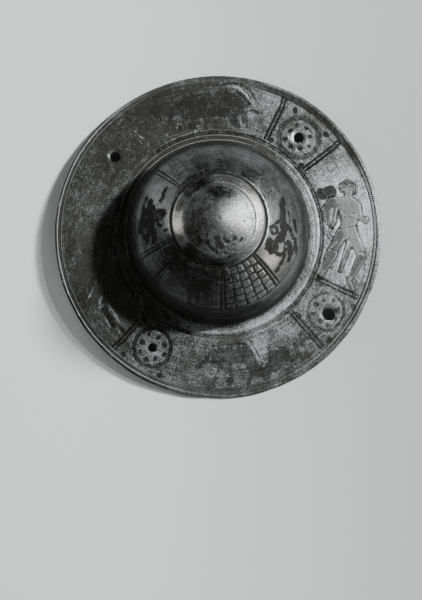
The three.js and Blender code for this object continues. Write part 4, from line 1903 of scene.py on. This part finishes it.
    def store(
        self, mesh: bpy.types.Mesh, values: dict[str, Array], length: Array, turn: Array,
        face: Array, walls: Array,
    ) -> None:
        """Stores the drawing's values on the vertices, and lays face and back out as two discs.

        In each disc a point lies at its angle, as far from the middle as its length along the sheet.

        Args:
            mesh: the sheet's mesh.
            values: the drawing's values by name.
            length: length along the profile of each vertex in mm.
            turn: angle of each vertex.
            face: True for vertices of the face.
            walls: triangles of the hole walls.
        """
        for name, value in values.items():
            held = mesh.attributes.new(name, "FLOAT", "POINT")
            held.data.foreach_set("value", value.astype(np.float32))
        rim = length[face].max()
        compass = np.stack([np.cos(turn), np.sin(turn)], axis=1)
        top = np.array(self.face_disc[:2]) + compass * (length / rim * self.face_disc[2])[:, None]
        under = (length.max() - length) / (length.max() - rim) * self.back_disc[2]
        low = np.array(self.back_disc[:2]) + compass * under[:, None]
        corner = np.empty(len(mesh.loops), dtype=np.int32)
        mesh.loops.foreach_get("vertex_index", corner)
        sides = np.empty(len(mesh.polygons), dtype=np.int32)
        mesh.polygons.foreach_get("loop_total", sides)
        back = np.empty(len(mesh.polygons), dtype=np.int32)
        mesh.polygons.foreach_get("material_index", back)
        flat = np.where(np.repeat(back, sides)[:, None] > 0, low[corner], top[corner])
        wall = np.repeat(np.arange(len(sides)) >= len(sides) - len(walls), sides)
        inner = wall & ~face[corner]
        flat[inner] = self.wall_uv(mesh, corner[inner], length, face)
        layer = mesh.uv_layers.new(name="OFBake")
        layer.data.foreach_set("uv", flat.astype(np.float32).ravel())

    def wall_uv(self, mesh: bpy.types.Mesh, index: Array, length: Array, face: Array) -> Array:
        """Lower rims of the holes, laid inside the holes' empty places on the face's disc.

        Args:
            mesh: the sheet's mesh.
            index: vertices of the lower rims.
            length: length along the profile of each vertex in mm.
            face: True for vertices of the face.

        Returns:
            Places on the disc, one row a vertex.
        """
        spots = np.empty(len(mesh.vertices) * 3, dtype=np.float32)
        mesh.vertices.foreach_get("co", spots)
        plan = spots.reshape(-1, 3)[index, :2] / MM
        mids = np.array([rivet.centre() for rivet in self.form.rivets])
        which = np.argmin(np.linalg.norm(plan[:, None] - mids[None], axis=2), axis=1)
        mid = mids[which]
        scale = self.face_disc[2] / length[face].max()
        flat_run = length[face].max() - self.form.rim
        reach = np.linalg.norm(mid, axis=1)
        out = ((reach + flat_run) * scale)[:, None]
        mid_uv = np.array(self.face_disc[:2]) + mid / reach[:, None] * out
        return mid_uv + (plan - mid) * (self.wall_inset * scale)

    def dress(self, piece: bpy.types.Object) -> None:
        """Gives the sheet its face and back materials and ties it to the solid it stands for.

        Args:
            piece: the sheet.
        """
        coating = Coating()
        piece.data.materials.append(coating.face())
        piece.data.materials.append(coating.back())
        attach(piece, "root")
        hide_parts("shield_boss")


def frame_of(back: Vector, upward: Vector, spot: Vector) -> Matrix:
    """Stands a camera or lamp at a spot.

    Args:
        back: direction that its back points to.
        upward: direction that its top leans to.
        spot: its place in metres.

    Returns:
        The matrix.
    """
    right = upward.cross(back).normalized()
    up = back.cross(right).normalized()
    return Matrix.Translation(spot) @ Matrix((right, up, back)).transposed().to_4x4()


def show(name: str, data: object) -> bpy.types.Object:
    """Puts data into the scene.

    Args:
        name: the object's name.
        data: its mesh, lamp or camera.

    Returns:
        The new object.
    """
    made = bpy.data.objects.new(name, data)
    bpy.context.scene.collection.objects.link(made)
    return made


class Sight(Enum):
    """Kinds of sight that a lamp's light can be kept out of."""

    DIFFUSE = "visible_diffuse"
    GLOSS = "visible_glossy"


@dataclass(frozen=True)
class Lamp:
    """A soft lamp: direction in degrees, distance, size and aim in metres, power in watts.

    One with a beam angle is a narrow spot, any other a round panel. Its light leaves out one sight.
    """

    name: str
    turn: float
    rise: float
    far: float
    size: float
    power: float
    without: Sight
    beam: float = 0.0
    aim: Triple = (0.0, 0.0, 0.02)

    def place(self) -> None:
        """Puts the lamp up and turns it to its aim."""
        flat = heading(self.turn) * np.cos(np.radians(self.rise))
        back = Vector((flat[0], flat[1], np.sin(np.radians(self.rise))))
        data = bpy.data.lights.new(self.name, "SPOT" if self.beam else "AREA")
        data.energy = self.power
        if self.beam:
            data.shadow_soft_size, data.spot_blend = self.size, 1.0
            data.spot_size = np.radians(self.beam)
        else:
            data.shape, data.size = "DISK", self.size
        lamp = show(self.name, data)
        lamp.matrix_world = frame_of(back, Vector((0.0, 0.0, 1.0)), back * self.far + Vector(self.aim))
        setattr(lamp, self.without.value, False)


KEY = (12.6, 45.8, 2.0, 0.14)
CLOUD = (36.0, 1.8, 0.9, 6.1, Sight.GLOSS)
LEFT_OF_CROWN = (-0.0236, 0.0022, 0.0623)
LAMPS = (
    Lamp("key_lamp", *KEY, 84.0, Sight.DIFFUSE),
    Lamp("key_spill", *KEY, 14.0, Sight.GLOSS),
    Lamp("west_glint", 160.0, 37.4, 0.5, 0.004, 13.5, Sight.DIFFUSE, 1.8, LEFT_OF_CROWN),
    Lamp("soft_cloud_north", 105.0, *CLOUD),
    Lamp("soft_cloud_west", 215.0, *CLOUD),
    Lamp("soft_cloud_south", 285.0, *CLOUD),
    Lamp("soft_cloud_east", 22.0, 35.0, 1.8, 0.26, 84.0, Sight.GLOSS),
    Lamp("sheen_panel", -36.0, 9.0, 1.5, 0.45, 10.0, Sight.DIFFUSE),
    Lamp("sheen_panel_west", 143.0, 13.0, 1.5, 0.4, 3.5, Sight.DIFFUSE),
)


@dataclass
class Studio:
    """Pale table, soft lights and the camera. Lengths in metres, lens and sensor in mm."""

    roll: float = 9.37
    rise: float = 85.27
    distance: float = 0.700
    aim: Point = (-0.00443, -0.0402)
    focal: float = 67.94
    sensor: float = 36.0
    table: float = 4.0
    table_cells: int = 8
    card_grain: float = 900.0
    card_shade: float = 0.97
    # Painted falloff of light on the card towards the right.
    card_painted_falloff: float = 0.54
    card_falloff_span: Point = (-0.14, 0.16)
    card_bump: float = 0.00005
    room_low: Triple = (0.078, 0.076, 0.073)
    room_high: Triple = (0.025, 0.025, 0.024)
    room_fall: Point = (0.0, 0.9)

    def floor(self) -> bpy.types.Object:
        """A flat sheet of pale card, a grid of two straight parameters at height nought, with a painted
        falloff of light towards the right.

        Returns:
            The table.
        """
        n = self.table_cells
        line = np.linspace(-self.table / 2, self.table / 2, n + 1)
        gx, gy = np.meshgrid(line, line, indexing="ij")
        spots = np.stack([gx.ravel(), gy.ravel(), np.zeros(gx.size)], axis=1)
        i = (np.arange(n)[:, None] * (n + 1) + np.arange(n)[None]).ravel()
        faces = np.stack([i, i + n + 1, i + n + 2, i + 1], axis=1)
        mesh = bpy.data.meshes.new("pale_table")
        mesh.from_pydata(spots.tolist(), [], faces.tolist())
        piece = show("pale_table", mesh)
        made, desk, place = Coating.begin("pale_card")
        grain = desk.noise(place, self.card_grain)
        colour = desk.shade(desk.span(grain, 0.3, 0.7), CARD.rgba(self.card_shade), CARD.rgba())
        # Painted falloff of light: the card darkens towards the right.
        aside = desk.span(desk.axes(place)["X"], *self.card_falloff_span)
        colour = desk.shade(aside, colour, CARD.rgba(self.card_painted_falloff))
        Coating.finish(desk, colour, CARD.rough, CARD.metal, grain, self.card_bump)
        mesh.materials.append(made)
        return piece

    def light(self) -> None:
        """Key lamp and its spill, a glint, soft clouds, low sheen panels and a room dimmer overhead."""
        for lamp in LAMPS:
            lamp.place()
        world = bpy.data.worlds.new("soft_room")
        world.use_nodes = True
        world.node_tree.nodes.clear()
        desk = Desk(world.node_tree)
        upward = desk.axes(desk.node("ShaderNodeTexCoord").outputs["Generated"])["Z"]
        high = desk.span(upward, *self.room_fall)
        colour = desk.shade(high, (*self.room_low, 1.0), (*self.room_high, 1.0))
        backdrop = desk.node("ShaderNodeBackground", {"Color": colour})
        desk.node("ShaderNodeOutputWorld", {"Surface": backdrop.outputs[0]})
        bpy.context.scene.world = world

    def camera(self) -> None:
        """A camera almost overhead, rolled so that the boss stands as it was placed."""
        rise = np.radians(self.rise)
        turn = Matrix.Rotation(np.radians(-self.roll), 3, "Z")
        back = turn @ Vector((0.0, -np.cos(rise), np.sin(rise)))
        aim = turn @ Vector((*self.aim, 0.0))
        data = bpy.data.cameras.new("camera")
        data.sensor_fit, data.sensor_height, data.lens = "VERTICAL", self.sensor, self.focal
        data.clip_start = 0.01
        eye = show("camera", data)
        eye.matrix_world = frame_of(back, turn @ Vector((0.0, 1.0, 0.0)), aim + back * self.distance)
        bpy.context.scene.camera = eye


def main() -> None:
    """Builds and dresses the boss, then sets table, lights and camera."""
    logging.basicConfig(level=logging.INFO, format="%(name)s: %(message)s")
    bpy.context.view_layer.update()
    boss = ShieldBoss(BossForm())
    sheet = boss.build()
    boss.dress(sheet)
    LOG.info("%s: %d vertices, %d faces", sheet.name, len(sheet.data.vertices), len(sheet.data.polygons))
    studio = Studio()
    LOG.info("%s laid", studio.floor().name)
    studio.light()
    studio.camera()


if __name__ == "__main__":
    main()
